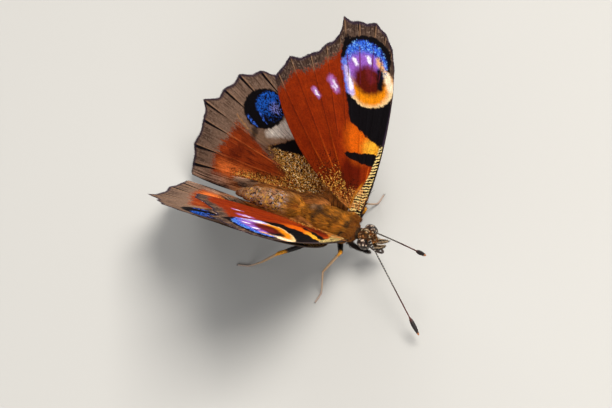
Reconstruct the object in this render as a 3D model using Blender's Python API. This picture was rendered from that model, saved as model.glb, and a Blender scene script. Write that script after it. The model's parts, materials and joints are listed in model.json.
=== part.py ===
"""Peacock butterfly (Aglais io), a still life-size model standing with its wings half raised.

Every size below is in millimetres. A place is given as (forward, left, up) from the middle of
the thorax, and a place on a wing as (out, ahead) from that wing's hinge, measured on the wing.
The head looks along -Y, the insect's left is +X, and the feet stand on Z = 0.
"""
import math

import bmesh
import bpy
from mathutils import Matrix, Vector

MM = 0.001

# Stance, the gap that neighbours keep, and the slant past which a tube counts as upright
RIDE_HEIGHT = 6.4
GAP = 0.3
STEEP = 0.2

# Thorax: (forward, centre height, half width, half height) of each ring, front to rear
THORAX_RINGS = (
    (3.75, 0.05, 0.95, 0.95),
    (3.3, 0.1, 1.4, 1.45),
    (2.4, 0.15, 1.8, 1.9),
    (1.2, 0.15, 2.05, 2.2),
    (-0.2, 0.15, 2.15, 2.3),
    (-1.6, 0.1, 2.05, 2.2),
    (-3.0, 0.1, 1.7, 1.85),
    (-3.9, 0.05, 1.45, 1.5),
    (-4.3, 0.05, 1.15, 1.2),
)
THORAX_SIDES = 24
BELLY_FLAT = -2.1

# Abdomen: it swells as a power of a sine, from one share of a half turn to another
ABDOMEN_FRONT = (-4.6, 0.0, 0.05)
ABDOMEN_MIDDLE = (-10.0, 0.0, 0.55)
ABDOMEN_TIP = (-15.7, -0.6, -0.8)
ABDOMEN_RADIUS = 1.62
ABDOMEN_FLATNESS = 0.96
ABDOMEN_SIDES = 20
ABDOMEN_SWELL = (0.16, 0.94)
ABDOMEN_SWELL_LEAN = 0.85
ABDOMEN_SWELL_POWER = 0.62
ABDOMEN_SEGMENTS = 8
SEGMENT_RINGS = 3
SEGMENT_STEP = 0.09

# Head
HEAD_CENTRE = (5.05, 0.0, -0.05)
HEAD_RADII = (1.3, 1.25, 1.3)
HEAD_FACETS = (24, 16)
NECK_FACE = 4.05
NECK_CUTTER_SIZE = 4.0
EYE_CENTRE = (5.1, 1.08, 0.0)
EYE_RADII = (0.88, 0.66, 0.98)
EYE_FACETS = (20, 14)

# Feelers: an antenna's rings by share of its stem and of its club, with the club's radii
ROUND_SIDES = 10
ANTENNA_RADIUS = 0.26
ANTENNA_CLUB = 0.46
ANTENNA_CLUB_LENGTH = 2.4
ANTENNA_STEM_SHARES = (0.0, 0.33, 0.66, 1.0)
ANTENNA_CLUB_SHARES = (0.35, 0.8, 1.0)
ANTENNA_CLUB_RADII = (0.39, ANTENNA_CLUB, ANTENNA_RADIUS)
ANTENNA_ROOT = (6.13, 0.68, 0.91)
ANTENNA_TIPS = {"left": (17.5, -2.1, 8.0), "right": (16.43, -8.32, -4.0)}
PALP_POINTS = ((6.1, 0.4, -1.33), (6.9, 0.5, -0.85), (7.95, 0.38, 0.2))
PALP_RADII = (0.25, 0.36, 0.12)
PALP_STEPS = 6
COIL_CENTRE = (5.35, 0.0, -2.95)
COIL_OUTER = 1.3
COIL_INNER = 0.5
COIL_TURNS = 1.3
COIL_RADII = (0.25, 0.16)
COIL_STEPS = 22
COIL_SIDES = 8

# Wings: thicknesses, where along the wing its veins and cell end, and how its edge dips
MEMBRANE_HALF = 0.25
MARGIN_HALF = 0.18
MARGIN_START = 0.8
VEIN_HALF = 0.4
VEIN_WIDTH = 0.34
VEIN_WIDEST_SHARE = 0.3
VEIN_FADE = 0.6
VEIN_START = 0.3
CELL_END = 0.5
DIP_START = 0.75
DIP_ROUNDNESS = 1.5
COARSE_SHARES = (0.0, 0.06, 0.13)
FINE_SHARES = (0.2, 0.28, 0.36, 0.45, 0.54, 0.63, 0.72, 0.8, 0.87, 0.94, 1.0)
SWING_START = 1.0
BOSS_DEPTH = 1.5
BOSS_HALF = 0.4
BOSS_SPARE = 0.2

# Forewing: hinge, root, and the veins from the front edge back, each a bend and an end
FOREWING_HINGE = (2.6, 1.86, 1.34)
FOREWING_ROOT = 0.45
FOREWING_ROOT_SPAN = (0.95, -0.9)
FOREWING_CAMBER = 0.45
FOREWING_VEINS = (
    ("costa", ((9.3, 3.9),), (19.5, 4.6), 0.0),
    ("radius_1", ((11.2, 2.9),), (23.2, 4.6), 0.05),
    ("radius_2", ((12.1, 2.5),), (25.9, 4.2), 0.05),
    ("radius_3", ((13.0, 2.1),), (27.8, 3.2), 0.05),
    ("radius_4", ((13.3, 1.6),), (28.9, 1.7), 0.1),
    ("radius_5", ((13.6, 1.0),), (28.3, -0.7), 0.35),
    ("media_1", ((12.8, -0.2),), (28.3, -2.9), 0.5),
    ("media_2", ((12.1, -1.4),), (25.6, -3.4), 0.5),
    ("media_3", ((11.1, -2.9),), (23.5, -5.3), 0.45),
    ("cubitus_1", ((10.1, -3.6),), (21.3, -7.6), 0.45),
    ("cubitus_2", ((8.3, -4.7),), (19.9, -10.6), 0.6),
    ("anal", ((6.7, -6.3),), (16.9, -12.3), 0.15),
    ("inner_edge", ((5.5, -10.7),), (16.0, -12.7), 0.0),
)

# Hindwing, in the same way; the third media ends in the short tail
HINDWING_HINGE = (-0.45, 2.19, -0.17)
HINDWING_ROOT = 0.95
HINDWING_ROOT_SPAN = (1.4, -1.2)
HINDWING_CAMBER = 0.3
HINDWING_VEINS = (
    ("costa", ((8.6, 5.2),), (16.1, -6.2), 0.0),
    ("subcosta", ((10.3, -0.9),), (16.6, -9.6), 0.2),
    ("radial_sector", ((9.7, -4.1),), (15.8, -13.2), 0.5),
    ("media_1", ((8.3, -6.7),), (13.9, -16.7), 0.5),
    ("media_2", ((6.7, -8.7),), (10.8, -19.1), 0.5),
    ("media_3", ((4.6, -10.4),), (7.8, -22.5), 1.2),
    ("cubitus_1", ((3.1, -10.1),), (4.9, -22.5), 0.45),
    ("cubitus_2", ((1.1, -10.2),), (0.4, -24.0), 0.4),
    ("anal_2", ((-0.6, -10.9),), (-2.6, -24.1), 0.2),
    ("inner_edge", ((1.0, -6.0), (-5.2, -11.0)), (-4.5, -24.4), 0.0),
)

# Each wing's rise above level, its bend per millimetre, its twist and its swing, in degrees
WING_POSES = {
    "forewing_left": (57.2, 0.0, -1.9, 0.0),
    "forewing_right": (64.2, 0.0, -1.9, -2.2),
    "hindwing_left": (57.0, 0.0, 2.6, 0.0),
    "hindwing_right": (51.5, 1.2, 3.4, 0.0),
}

# Legs: coxa, trochanter, knee, ankle, heel and toe of each walking leg
LEG_POINTS = {
    "midleg_right": ((0.6, -0.9, -2.4), (0.8, -1.5, -3.2), (2.85, -3.35, 0.0),
                     (0.25, -5.5, -3.5), (0.2, -7.5, -6.25), (0.1, -8.9, -6.25)),
    "midleg_left": ((0.6, 0.9, -2.4), (0.8, 1.5, -3.2), (2.6, 3.6, -0.4),
                    (0.5, 5.3, -3.6), (0.8, 7.0, -6.25), (0.9, 8.4, -6.25)),
    "hindleg_right": ((-1.6, -0.9, -2.4), (-1.9, -1.5, -3.1), (-5.9, -6.0, -1.9),
                      (-8.9, -7.1, -4.7), (-11.2, -7.8, -6.25), (-12.6, -8.2, -6.25)),
    "hindleg_left": ((-1.6, 0.9, -2.4), (-1.9, 1.5, -3.1), (-5.6, 5.6, -2.0),
                     (-8.4, 6.9, -4.7), (-10.6, 7.8, -6.25), (-12.0, 8.3, -6.25)),
}
FEMUR_RADII = (0.4, 0.42, 0.45, 0.42, 0.34)
FEMUR_BEND = 0.35
TIBIA_RADII = (0.32, 0.3, 0.3)
TARSUS_RADII = (0.3, 0.28, 0.28, 0.3, 0.26)
FORELEG_POINTS = ((2.0, 0.62, -2.3), (2.3, 0.8, -3.0), (4.7, 1.0, -2.5), (5.2, 1.05, -2.2))
FORELEG_RADII = (0.36, 0.42, 0.36, 0.16)

# Finish: colour, roughness
FINISHES = {
    "thorax_fur": ((0.36, 0.17, 0.06), 0.9),
    "abdomen_scales": ((0.09, 0.06, 0.04), 0.85),
    "head_scales": ((0.13, 0.07, 0.04), 0.85),
    "eye": ((0.05, 0.025, 0.015), 0.25),
    "antenna": ((0.05, 0.035, 0.03), 0.55),
    "proboscis": ((0.04, 0.03, 0.025), 0.45),
    "forewing": ((0.34, 0.06, 0.02), 0.75),
    "hindwing": ((0.32, 0.08, 0.03), 0.75),
    "leg_dark": ((0.03, 0.025, 0.025), 0.7),
    "leg_pale": ((0.38, 0.26, 0.15), 0.6),
}


def at(forward, left, up):
    """Scene place of a point given in millimetres from the middle of the thorax."""
    return Vector((left * MM, -forward * MM, (up + RIDE_HEIGHT) * MM))


def finish(name):
    """The named material, made the first time it is asked for."""
    if name in bpy.data.materials:
        return bpy.data.materials[name]
    colour, roughness = FINISHES[name]
    material = bpy.data.materials.new(name)
    material.use_nodes = True
    shader = material.node_tree.nodes["Principled BSDF"]
    shader.inputs["Base Color"].default_value = (*colour, 1.0)
    shader.inputs["Roughness"].default_value = roughness
    shader.inputs["Metallic"].default_value = 0.0
    return material


def piece(name, mesh_maker, finish_name, sharp=40.0):
    """One named object from a bmesh, shaded smooth and parented to the whole insect."""
    mesh = bpy.data.meshes.new(name)
    mesh_maker.normal_update()
    mesh_maker.to_mesh(mesh)
    mesh_maker.free()
    mesh.materials.append(finish(finish_name))
    mesh.shade_smooth()
    mesh.set_sharp_from_angle(angle=math.radians(sharp))
    thing = bpy.data.objects.new(name, mesh)
    bpy.context.collection.objects.link(thing)
    thing.parent = bpy.data.objects["butterfly"]
    return thing


def skin_rings(rings):
    """A closed bmesh through rings of points, with a flat cap on the first and the last."""
    shape = bmesh.new()
    loops = []
    for points in rings:
        corners = bmesh.ops.create_circle(shape, cap_ends=False, segments=len(points), radius=1.0)
        for corner, point in zip(corners["verts"], points):
            corner.co = point
        loops.append(corners["verts"])
    count = len(loops[0])
    for front, rear in zip(loops, loops[1:]):
        for i in range(count):
            j = (i + 1) % count
            shape.faces.new((front[i], front[j], rear[j], rear[i]))
    shape.faces.new(list(reversed(loops[0])))
    shape.faces.new(loops[-1])
    bmesh.ops.recalc_face_normals(shape, faces=shape.faces)
    return shape


def tube_rings(path, radii, floor=None):
    """Rings of a round tube along a path, held above the floor where one is given."""
    rings = []
    guide = Vector((0.0, 0.0, 1.0))
    for i, point in enumerate(path):
        before = path[max(i - 1, 0)]
        after = path[min(i + 1, len(path) - 1)]
        along = (after - before).normalized()
        side = along.cross(guide)
        if side.length < STEEP:
            side = along.cross(Vector((0.0, 1.0, 0.0)))
        side.normalize()
        rise = side.cross(along).normalized()
        ring = []
        for k in range(ROUND_SIDES):
            turn = 2.0 * math.pi * k / ROUND_SIDES
            corner = point + (side * math.cos(turn) + rise * math.sin(turn)) * radii[i]
            if floor is not None:
                corner.z = max(corner.z, floor)
            ring.append(at(*corner))
        rings.append(ring)
    return rings


def bend(points, share):
    """Point of a Bezier curve with these control points, at a share of its length."""
    points = [Vector(p) for p in points]
    while len(points) > 1:
        points = [a.lerp(b, share) for a, b in zip(points, points[1:])]
    return points[0]


def fuse(target, parts):
    """Join closed parts to the target by one union and remove them."""
    group = bpy.data.collections.new(target.name + "_parts")
    bpy.context.scene.collection.children.link(group)
    for part in parts:
        bpy.context.collection.objects.unlink(part)
        group.objects.link(part)
    union = target.modifiers.new("union", "BOOLEAN")
    union.operation = "UNION"
    union.solver = "EXACT"
    union.operand_type = "COLLECTION"
    union.collection = group
    settle(target)
    for part in parts:
        bpy.data.objects.remove(part)
    bpy.data.collections.remove(group)


def settle(target):
    """Apply the target's modifiers."""
    bpy.context.view_layer.update()
    graph = bpy.context.evaluated_depsgraph_get()
    mesh = bpy.data.meshes.new_from_object(target.evaluated_get(graph))
    target.modifiers.clear()
    target.data = mesh


def cut(target, cutter):
    """Take the cutter's shape out of the target and remove the cutter."""
    cutter.hide_render = True
    cutter.display_type = "WIRE"
    difference = target.modifiers.new("cut", "BOOLEAN")
    difference.operation = "DIFFERENCE"
    difference.solver = "EXACT"
    difference.object = cutter
    settle(target)
    bpy.data.objects.remove(cutter)


def ellipsoid(centre, radii, facets):
    """A closed ellipsoid bmesh about a centre, with its facets round and from pole to pole."""
    shape = bmesh.new()
    bmesh.ops.create_uvsphere(shape, u_segments=facets[0], v_segments=facets[1], radius=1.0)
    for corner in shape.verts:
        forward, left, up = -corner.co.y * radii[0], corner.co.x * radii[1], corner.co.z * radii[2]
        corner.co = at(centre[0] + forward, centre[1] + left, centre[2] + up)
    return shape


class Wing:
    """One wing's plane: where a place on the wing lies in the insect."""

    def __init__(self, name, hinge):
        rise, curl, twist, swing = WING_POSES[name]
        self.side = 1.0 if name.endswith("left") else -1.0
        self.hinge = hinge
        self.rise = math.radians(rise)
        self.curl = math.radians(curl)
        self.twist = math.radians(twist)
        self.swing = math.radians(swing)

    def across(self, out):
        """Left and up of the wing's section at a distance out, and its slope there."""
        slope = self.rise + self.curl * max(out, 0.0)
        if out <= 0.0 or self.curl == 0.0:
            return out * math.cos(self.rise), out * math.sin(self.rise), slope
        left = (math.sin(slope) - math.sin(self.rise)) / self.curl
        up = (math.cos(self.rise) - math.cos(slope)) / self.curl
        return left, up, slope

    def point(self, out, ahead, proud=0.0):
        """Place (forward, left, up) of a spot on the wing, proud of its middle surface."""
        turned = Vector((out, ahead))
        if out > SWING_START:
            turned.rotate(Matrix.Rotation(self.swing, 2))
        left, up, slope = self.across(turned.x)
        lift = turned.y * math.sin(self.twist)
        left -= lift * math.sin(self.rise) + proud * math.sin(slope)
        up += lift * math.cos(self.rise) + proud * math.cos(slope)
        forward = self.hinge[0] + turned.y * math.cos(self.twist)
        return forward, (self.hinge[1] + left) * self.side, self.hinge[2] + up


def wing_lines(veins, root, root_span, share):
    """Points (out, ahead) where the veins cross one row of the wing, front edge to rear."""
    row = []
    last = len(veins) - 1
    for i, (_, bends, end, _) in enumerate(veins):
        start = (root, root_span[0] + (root_span[1] - root_span[0]) * i / last)
        row.append(bend((start, *bends, end), share))
    return row


def wing_row(veins, root, root_span, share, fine):
    """One row of a wing: (out, ahead, half thickness) of each point, front edge to rear."""
    lines = wing_lines(veins, root, root_span, share)
    thinning = max(0.0, (share - MARGIN_START) / (1.0 - MARGIN_START))
    edge = MEMBRANE_HALF + (MARGIN_HALF - MEMBRANE_HALF) * thinning
    dipping = max(0.0, (share - DIP_START) / (1.0 - DIP_START)) ** 2
    row = []
    for i, line in enumerate(lines):
        name = veins[i][0]
        raised = name in ("costa", "radius_1", "radius_2") or share > VEIN_START
        if name.startswith("media") and share < CELL_END:
            raised = False
        if name == "inner_edge":
            raised = False
        half = edge
        if raised:
            half = edge + (VEIN_HALF - MEMBRANE_HALF) * (1.0 - VEIN_FADE * share)
        row.append((line.x, line.y, half))
        if i == len(lines) - 1 or not fine:
            continue
        after = lines[i + 1]
        near = min(VEIN_WIDEST_SHARE, VEIN_WIDTH / (after - line).length)
        dip = veins[i + 1][3] * dipping
        toward = (line.lerp(after, 0.5) - Vector((root, 0.0))).normalized()
        for part in (near, 0.5, 1.0 - near):
            sunk = dip * math.sin(math.pi * part) ** DIP_ROUNDNESS
            spot = line.lerp(after, part) - toward * sunk
            row.append((spot.x, spot.y, edge))
    return row


def build_wing(name, hinge, root, root_span, camber, veins, finish_name):
    """A wing as a thin vane with raised veins, split into like triangles on both faces."""
    wing = Wing(name, hinge)
    rows = [wing_row(veins, root, root_span, share, False) for share in COARSE_SHARES]
    rows += [wing_row(veins, root, root_span, share, True) for share in FINE_SHARES]
    shape = bmesh.new()
    top, bottom = [], []
    for share, row in zip(COARSE_SHARES + FINE_SHARES, rows):
        upper, lower = [], []
        for j, (out, ahead, half) in enumerate(row):
            arch = camber * math.sin(math.pi * share) * math.sin(math.pi * j / (len(row) - 1))
            if share == 0.0:
                half = MEMBRANE_HALF
            upper.append(shape.verts.new(at(*wing.point(out, ahead, arch + half))))
            lower.append(shape.verts.new(at(*wing.point(out, ahead, arch - half))))
        top.append(upper)
        bottom.append(lower)
    flat = []
    for i in range(len(rows) - 1):
        step = (len(rows[i + 1]) - 1) // (len(rows[i]) - 1)
        for j in range(len(rows[i]) - 1):
            flat += strip_triangles(i, j, step)
    for corners in flat:
        shape.faces.new([top[i][j] for i, j in corners])
        shape.faces.new([bottom[i][j] for i, j in reversed(corners)])
    rim = [(0, j) for j in range(len(rows[0]))]
    rim += [(i, len(rows[i]) - 1) for i in range(1, len(rows))]
    rim += [(len(rows) - 1, j) for j in reversed(range(len(rows[-1]) - 1))]
    rim += [(i, 0) for i in reversed(range(1, len(rows) - 1))]
    for (a, b), (c, d) in zip(rim, rim[1:] + rim[:1]):
        shape.faces.new((top[a][b], bottom[a][b], bottom[c][d]))
        shape.faces.new((top[a][b], bottom[c][d], top[c][d]))
    bmesh.ops.recalc_face_normals(shape, faces=shape.faces)
    piece(name, shape, finish_name, 60.0)
    return wing


def strip_triangles(i, j, step):
    """Triangles between one step of row i and the same step, perhaps finer, of row i + 1."""
    if step == 1:
        if j % 4 < 2:
            return [((i, j), (i, j + 1), (i + 1, j + 1)), ((i, j), (i + 1, j + 1), (i + 1, j))]
        return [((i, j), (i, j + 1), (i + 1, j)), ((i, j + 1), (i + 1, j + 1), (i + 1, j))]
    fine = [(i + 1, j * step + k) for k in range(step + 1)]
    half = step // 2
    triangles = [((i, j), b, a) for a, b in zip(fine[:half], fine[1:half + 1])]
    triangles.append(((i, j), (i, j + 1), fine[half]))
    triangles += [((i, j + 1), b, a) for a, b in zip(fine[half:], fine[half + 1:])]
    return triangles


def build_boss(wing, root, root_span):
    """The stub of the thorax that a wing's root faces."""
    shape = bmesh.new()
    bmesh.ops.create_cube(shape, size=1.0)
    middle = (root_span[0] + root_span[1]) / 2.0
    length = root_span[0] - root_span[1] + BOSS_SPARE
    face = root - GAP
    for corner in shape.verts:
        out = face - BOSS_DEPTH * (0.5 - corner.co.x)
        place = wing.point(out, middle + corner.co.y * length, corner.co.z * 2.0 * BOSS_HALF)
        corner.co = at(*place)
    bmesh.ops.recalc_face_normals(shape, faces=shape.faces)
    return piece("boss", shape, "thorax_fur")


def build_thorax(wings):
    """The thorax with a flat belly, flat ends and a stub for each wing."""
    rings = []
    for forward, height, half_width, half_height in THORAX_RINGS:
        ring = []
        for k in range(THORAX_SIDES):
            turn = 2.0 * math.pi * (k + 0.5) / THORAX_SIDES
            up = max(height + half_height * math.sin(turn), BELLY_FLAT)
            ring.append(at(forward, half_width * math.cos(turn), up))
        rings.append(ring)
    body = piece("thorax", skin_rings(rings), "thorax_fur")
    fuse(body, [build_boss(*entry) for entry in wings])


def build_abdomen():
    """The abdomen as overlapping rings that swell and taper to the tip."""
    rings = []
    start, end = ABDOMEN_SWELL
    steps = ABDOMEN_SEGMENTS * SEGMENT_RINGS
    for i in range(steps + 1):
        share = i / steps
        centre = bend((ABDOMEN_FRONT, ABDOMEN_MIDDLE, ABDOMEN_TIP), share)
        half_turn = math.pi * (start + (end - start) * share ** ABDOMEN_SWELL_LEAN)
        radius = ABDOMEN_RADIUS * math.sin(half_turn) ** ABDOMEN_SWELL_POWER
        if i % SEGMENT_RINGS == 0:
            radius -= SEGMENT_STEP
        ring = []
        for k in range(ABDOMEN_SIDES):
            turn = 2.0 * math.pi * k / ABDOMEN_SIDES
            left = centre.y + radius * math.cos(turn)
            up = centre.z + radius * ABDOMEN_FLATNESS * math.sin(turn)
            ring.append(at(centre.x, left, up))
        rings.append(ring)
    piece("abdomen", skin_rings(rings), "abdomen_scales")


def build_head():
    """The head with its sockets and flat neck, and the two eyes that sit in the sockets."""
    head = piece("head", ellipsoid(HEAD_CENTRE, HEAD_RADII, HEAD_FACETS), "head_scales")
    neck = bmesh.new()
    bmesh.ops.create_cube(neck, size=NECK_CUTTER_SIZE * MM)
    middle = at(NECK_FACE - NECK_CUTTER_SIZE / 2.0, 0.0, 0.0)
    bmesh.ops.translate(neck, verts=neck.verts, vec=middle)
    cut(head, piece("neck_cutter", neck, "head_scales"))
    for side, name in ((1.0, "eye_left"), (-1.0, "eye_right")):
        centre = (EYE_CENTRE[0], EYE_CENTRE[1] * side, EYE_CENTRE[2])
        socket = tuple(radius + GAP for radius in EYE_RADII)
        cut(head, piece("socket_cutter", ellipsoid(centre, socket, EYE_FACETS), "head_scales"))
        piece(name, ellipsoid(centre, EYE_RADII, EYE_FACETS), "eye")


def mirror(points, side):
    """The points with their left turned to the side asked for."""
    return [Vector((p[0], p[1] * side, p[2])) for p in points]


def build_feelers():
    """The clubbed antennae, the palps and the coiled proboscis."""
    for side, name in ((1.0, "left"), (-1.0, "right")):
        root = mirror([ANTENNA_ROOT], side)[0]
        tip = Vector(ANTENNA_TIPS[name])
        length = (tip - root).length
        club = 1.0 - ANTENNA_CLUB_LENGTH / length
        shares = [club * share for share in ANTENNA_STEM_SHARES]
        shares += [club + (1.0 - club) * share for share in ANTENNA_CLUB_SHARES]
        radii = (ANTENNA_RADIUS,) * len(ANTENNA_STEM_SHARES) + ANTENNA_CLUB_RADII
        path = [root.lerp(tip, share) for share in shares]
        piece("antenna_" + name, skin_rings(tube_rings(path, radii)), "antenna")
        shares = [i / PALP_STEPS for i in range(PALP_STEPS + 1)]
        palp = [bend(mirror(PALP_POINTS, side), share) for share in shares]
        radii = [bend([(r, 0.0, 0.0) for r in PALP_RADII], share).x for share in shares]
        piece("palp_" + name, skin_rings(tube_rings(palp, radii)), "head_scales")
    path, radii = [], []
    for i in range(COIL_STEPS + 1):
        share = i / COIL_STEPS
        turn = math.pi / 2.0 - 2.0 * math.pi * COIL_TURNS * share
        reach = COIL_OUTER + (COIL_INNER - COIL_OUTER) * share
        path.append(Vector((COIL_CENTRE[0] + reach * math.cos(turn), 0.0,
                            COIL_CENTRE[2] + reach * math.sin(turn))))
        radii.append(COIL_RADII[0] + (COIL_RADII[1] - COIL_RADII[0]) * share)
    piece("proboscis", coil_skin(path, radii), "proboscis")


def coil_skin(path, radii):
    """A tube along a path that stays in the insect's middle plane."""
    rings = []
    side = Vector((0.0, 1.0, 0.0))
    for i, point in enumerate(path):
        along = (path[min(i + 1, len(path) - 1)] - path[max(i - 1, 0)]).normalized()
        rise = side.cross(along)
        turns = [2.0 * math.pi * (k + 0.5) / COIL_SIDES for k in range(COIL_SIDES)]
        corners = [point + (side * math.cos(t) + rise * math.sin(t)) * radii[i] for t in turns]
        rings.append([at(*corner) for corner in corners])
    return skin_rings(rings)


def build_legs():
    """The four walking legs, parted at the knee and the ankle, and the small folded forelegs."""
    floor = -RIDE_HEIGHT
    for name, points in LEG_POINTS.items():
        coxa, trochanter, knee, ankle, heel, toe = [Vector(p) for p in points]
        shin = (ankle - knee).normalized() * (GAP / 2.0 + TIBIA_RADII[0])
        foot = (heel - ankle).normalized() * (GAP / 2.0)
        femur = [coxa, coxa.lerp(trochanter, 0.6), bend((coxa, trochanter, knee), FEMUR_BEND),
                 knee.lerp(trochanter, 0.45), knee]
        rings = tube_rings(femur, FEMUR_RADII)
        radius = FEMUR_RADII[0]
        rings[0] = [at(coxa.x + radius * math.cos(turn), coxa.y + radius * math.sin(turn), coxa.z)
                    for turn in ring_turns(rings[0], coxa)]
        piece(name + "_femur", skin_rings(rings), "leg_dark")
        path = [knee + shin, (knee + shin).lerp(ankle - foot, 0.5), ankle - foot]
        piece(name + "_tibia", skin_rings(tube_rings(path, TIBIA_RADII)), "leg_pale")
        path = [ankle + foot, ankle.lerp(heel, 0.5), heel.lerp(ankle, 0.12), heel, toe]
        rings = tube_rings(path, TARSUS_RADII, floor)
        piece(name + "_tarsus", skin_rings(rings), "leg_pale")
    for side, name in ((1.0, "foreleg_left"), (-1.0, "foreleg_right")):
        rings = tube_rings(mirror(FORELEG_POINTS, side), FORELEG_RADII)
        piece(name, skin_rings(rings), "leg_dark")


def ring_turns(ring, centre):
    """Turn of each ring corner about a centre, seen from above."""
    middle = at(*centre)
    turns = []
    for corner in ring:
        left = corner.x - middle.x
        forward = -(corner.y - middle.y)
        turns.append(math.atan2(left, forward))
    return turns


def stand_at_origin():
    """Move the whole insect so that its box stands with the middle of its base at the origin."""
    bpy.context.view_layer.update()
    corners = []
    for thing in bpy.data.objects:
        if thing.type == "MESH":
            corners += [thing.matrix_world @ vertex.co for vertex in thing.data.vertices]
    middle = [(min(c[k] for c in corners) + max(c[k] for c in corners)) / 2.0 for k in (0, 1)]
    lowest = min(c.z for c in corners)
    bpy.data.objects["butterfly"].location = (-middle[0], -middle[1], -lowest)


def main():
    """Build the butterfly."""
    for thing in list(bpy.data.objects):
        bpy.data.objects.remove(thing)
    insect = bpy.data.objects.new("butterfly", None)
    bpy.context.collection.objects.link(insect)
    roots = []
    for side in ("left", "right"):
        wing = build_wing("forewing_" + side, FOREWING_HINGE, FOREWING_ROOT, FOREWING_ROOT_SPAN,
                          FOREWING_CAMBER, FOREWING_VEINS, "forewing")
        roots.append((wing, FOREWING_ROOT, FOREWING_ROOT_SPAN))
        wing = build_wing("hindwing_" + side, HINDWING_HINGE, HINDWING_ROOT, HINDWING_ROOT_SPAN,
                          HINDWING_CAMBER, HINDWING_VEINS, "hindwing")
        roots.append((wing, HINDWING_ROOT, HINDWING_ROOT_SPAN))
    build_thorax(roots)
    build_abdomen()
    build_head()
    build_feelers()
    build_legs()
    stand_at_origin()


main()
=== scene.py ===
"""Peacock butterfly (Aglais io): the looks of the still life-size model.

Shapes are drawn in the insect's own millimetres, as (forward, left, up) from the middle of the
thorax, or on a wing as (out, ahead) from its hinge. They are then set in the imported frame, where
the feet stand on Z = 0 and the head looks along -Y. Colours are a screen's, 0 to 255.
"""
from __future__ import annotations

import json
import logging
import math
from collections.abc import Callable, Sequence
from dataclasses import dataclass
from enum import Enum

import bmesh
import bpy
import numpy as np
from mathutils import Matrix, Vector

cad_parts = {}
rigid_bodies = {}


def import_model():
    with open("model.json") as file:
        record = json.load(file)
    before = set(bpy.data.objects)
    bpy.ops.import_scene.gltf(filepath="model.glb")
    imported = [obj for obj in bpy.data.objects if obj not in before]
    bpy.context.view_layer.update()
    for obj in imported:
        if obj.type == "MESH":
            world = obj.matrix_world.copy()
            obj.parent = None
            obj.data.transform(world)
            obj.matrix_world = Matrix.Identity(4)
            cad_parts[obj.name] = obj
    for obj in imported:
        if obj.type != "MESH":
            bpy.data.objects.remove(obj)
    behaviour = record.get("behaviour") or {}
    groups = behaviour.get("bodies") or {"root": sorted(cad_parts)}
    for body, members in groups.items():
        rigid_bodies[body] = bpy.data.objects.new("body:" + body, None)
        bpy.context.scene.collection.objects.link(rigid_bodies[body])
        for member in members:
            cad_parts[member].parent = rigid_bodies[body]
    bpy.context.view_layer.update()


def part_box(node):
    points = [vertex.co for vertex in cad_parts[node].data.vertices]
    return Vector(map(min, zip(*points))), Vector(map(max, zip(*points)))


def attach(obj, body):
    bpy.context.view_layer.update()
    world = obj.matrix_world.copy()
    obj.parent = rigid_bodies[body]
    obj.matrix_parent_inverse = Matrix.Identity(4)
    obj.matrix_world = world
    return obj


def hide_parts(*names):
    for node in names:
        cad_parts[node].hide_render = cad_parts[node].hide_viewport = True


MM = 0.001
RIDE_HEIGHT = 6.4
EYE_FORWARD = 5.1
WELD = 0.0005
STEEP = 0.97
MELT_SMOOTHINGS = 2
BAKE_PATCH = 0.003
VEIN_FADE = 8.0
log = logging.getLogger("butterfly")

Colour = tuple[int, int, int]
Place = tuple[float, float, float]
Spot = tuple[float, float]
Solid = bmesh.types.BMesh
Material = bpy.types.Material


def linear(channel: int) -> float:
    """A screen's channel as the linear one that a shader reads."""
    share = channel / 255.0
    return share / 12.92 if share <= 0.04045 else ((share + 0.055) / 1.055) ** 2.4


class Sock:
    """A shader socket that takes part in sums, each of which adds its Math node."""

    def __init__(self, paint: Paint, socket: bpy.types.NodeSocket) -> None:
        """Keep the socket and the paint that it belongs to."""
        self.paint = paint
        self.socket = socket

    def __add__(self, other: Value) -> Sock:
        """Sum of the two."""
        return self.paint.maths("ADD", self, other)

    def __radd__(self, other: Value) -> Sock:
        """Sum of the two."""
        return self.paint.maths("ADD", other, self)

    def __sub__(self, other: Value) -> Sock:
        """This less the other."""
        return self.paint.maths("SUBTRACT", self, other)

    def __rsub__(self, other: Value) -> Sock:
        """The other less this."""
        return self.paint.maths("SUBTRACT", other, self)

    def __mul__(self, other: Value) -> Sock:
        """Product of the two."""
        return self.paint.maths("MULTIPLY", self, other)

    def __rmul__(self, other: Value) -> Sock:
        """Product of the two."""
        return self.paint.maths("MULTIPLY", other, self)

    def __truediv__(self, other: Value) -> Sock:
        """This over the other."""
        return self.paint.maths("DIVIDE", self, other)

    def __abs__(self) -> Sock:
        """Size of this without its sign."""
        return self.paint.maths("ABSOLUTE", self)

    def output(self, name: str) -> Sock:
        """Another output of the node that this socket is on."""
        return Sock(self.paint, self.socket.node.outputs[name])


Value = Sock | float
Shade = Sock | Colour
Wash = tuple[Value, float, float, Value, Shade]


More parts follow.
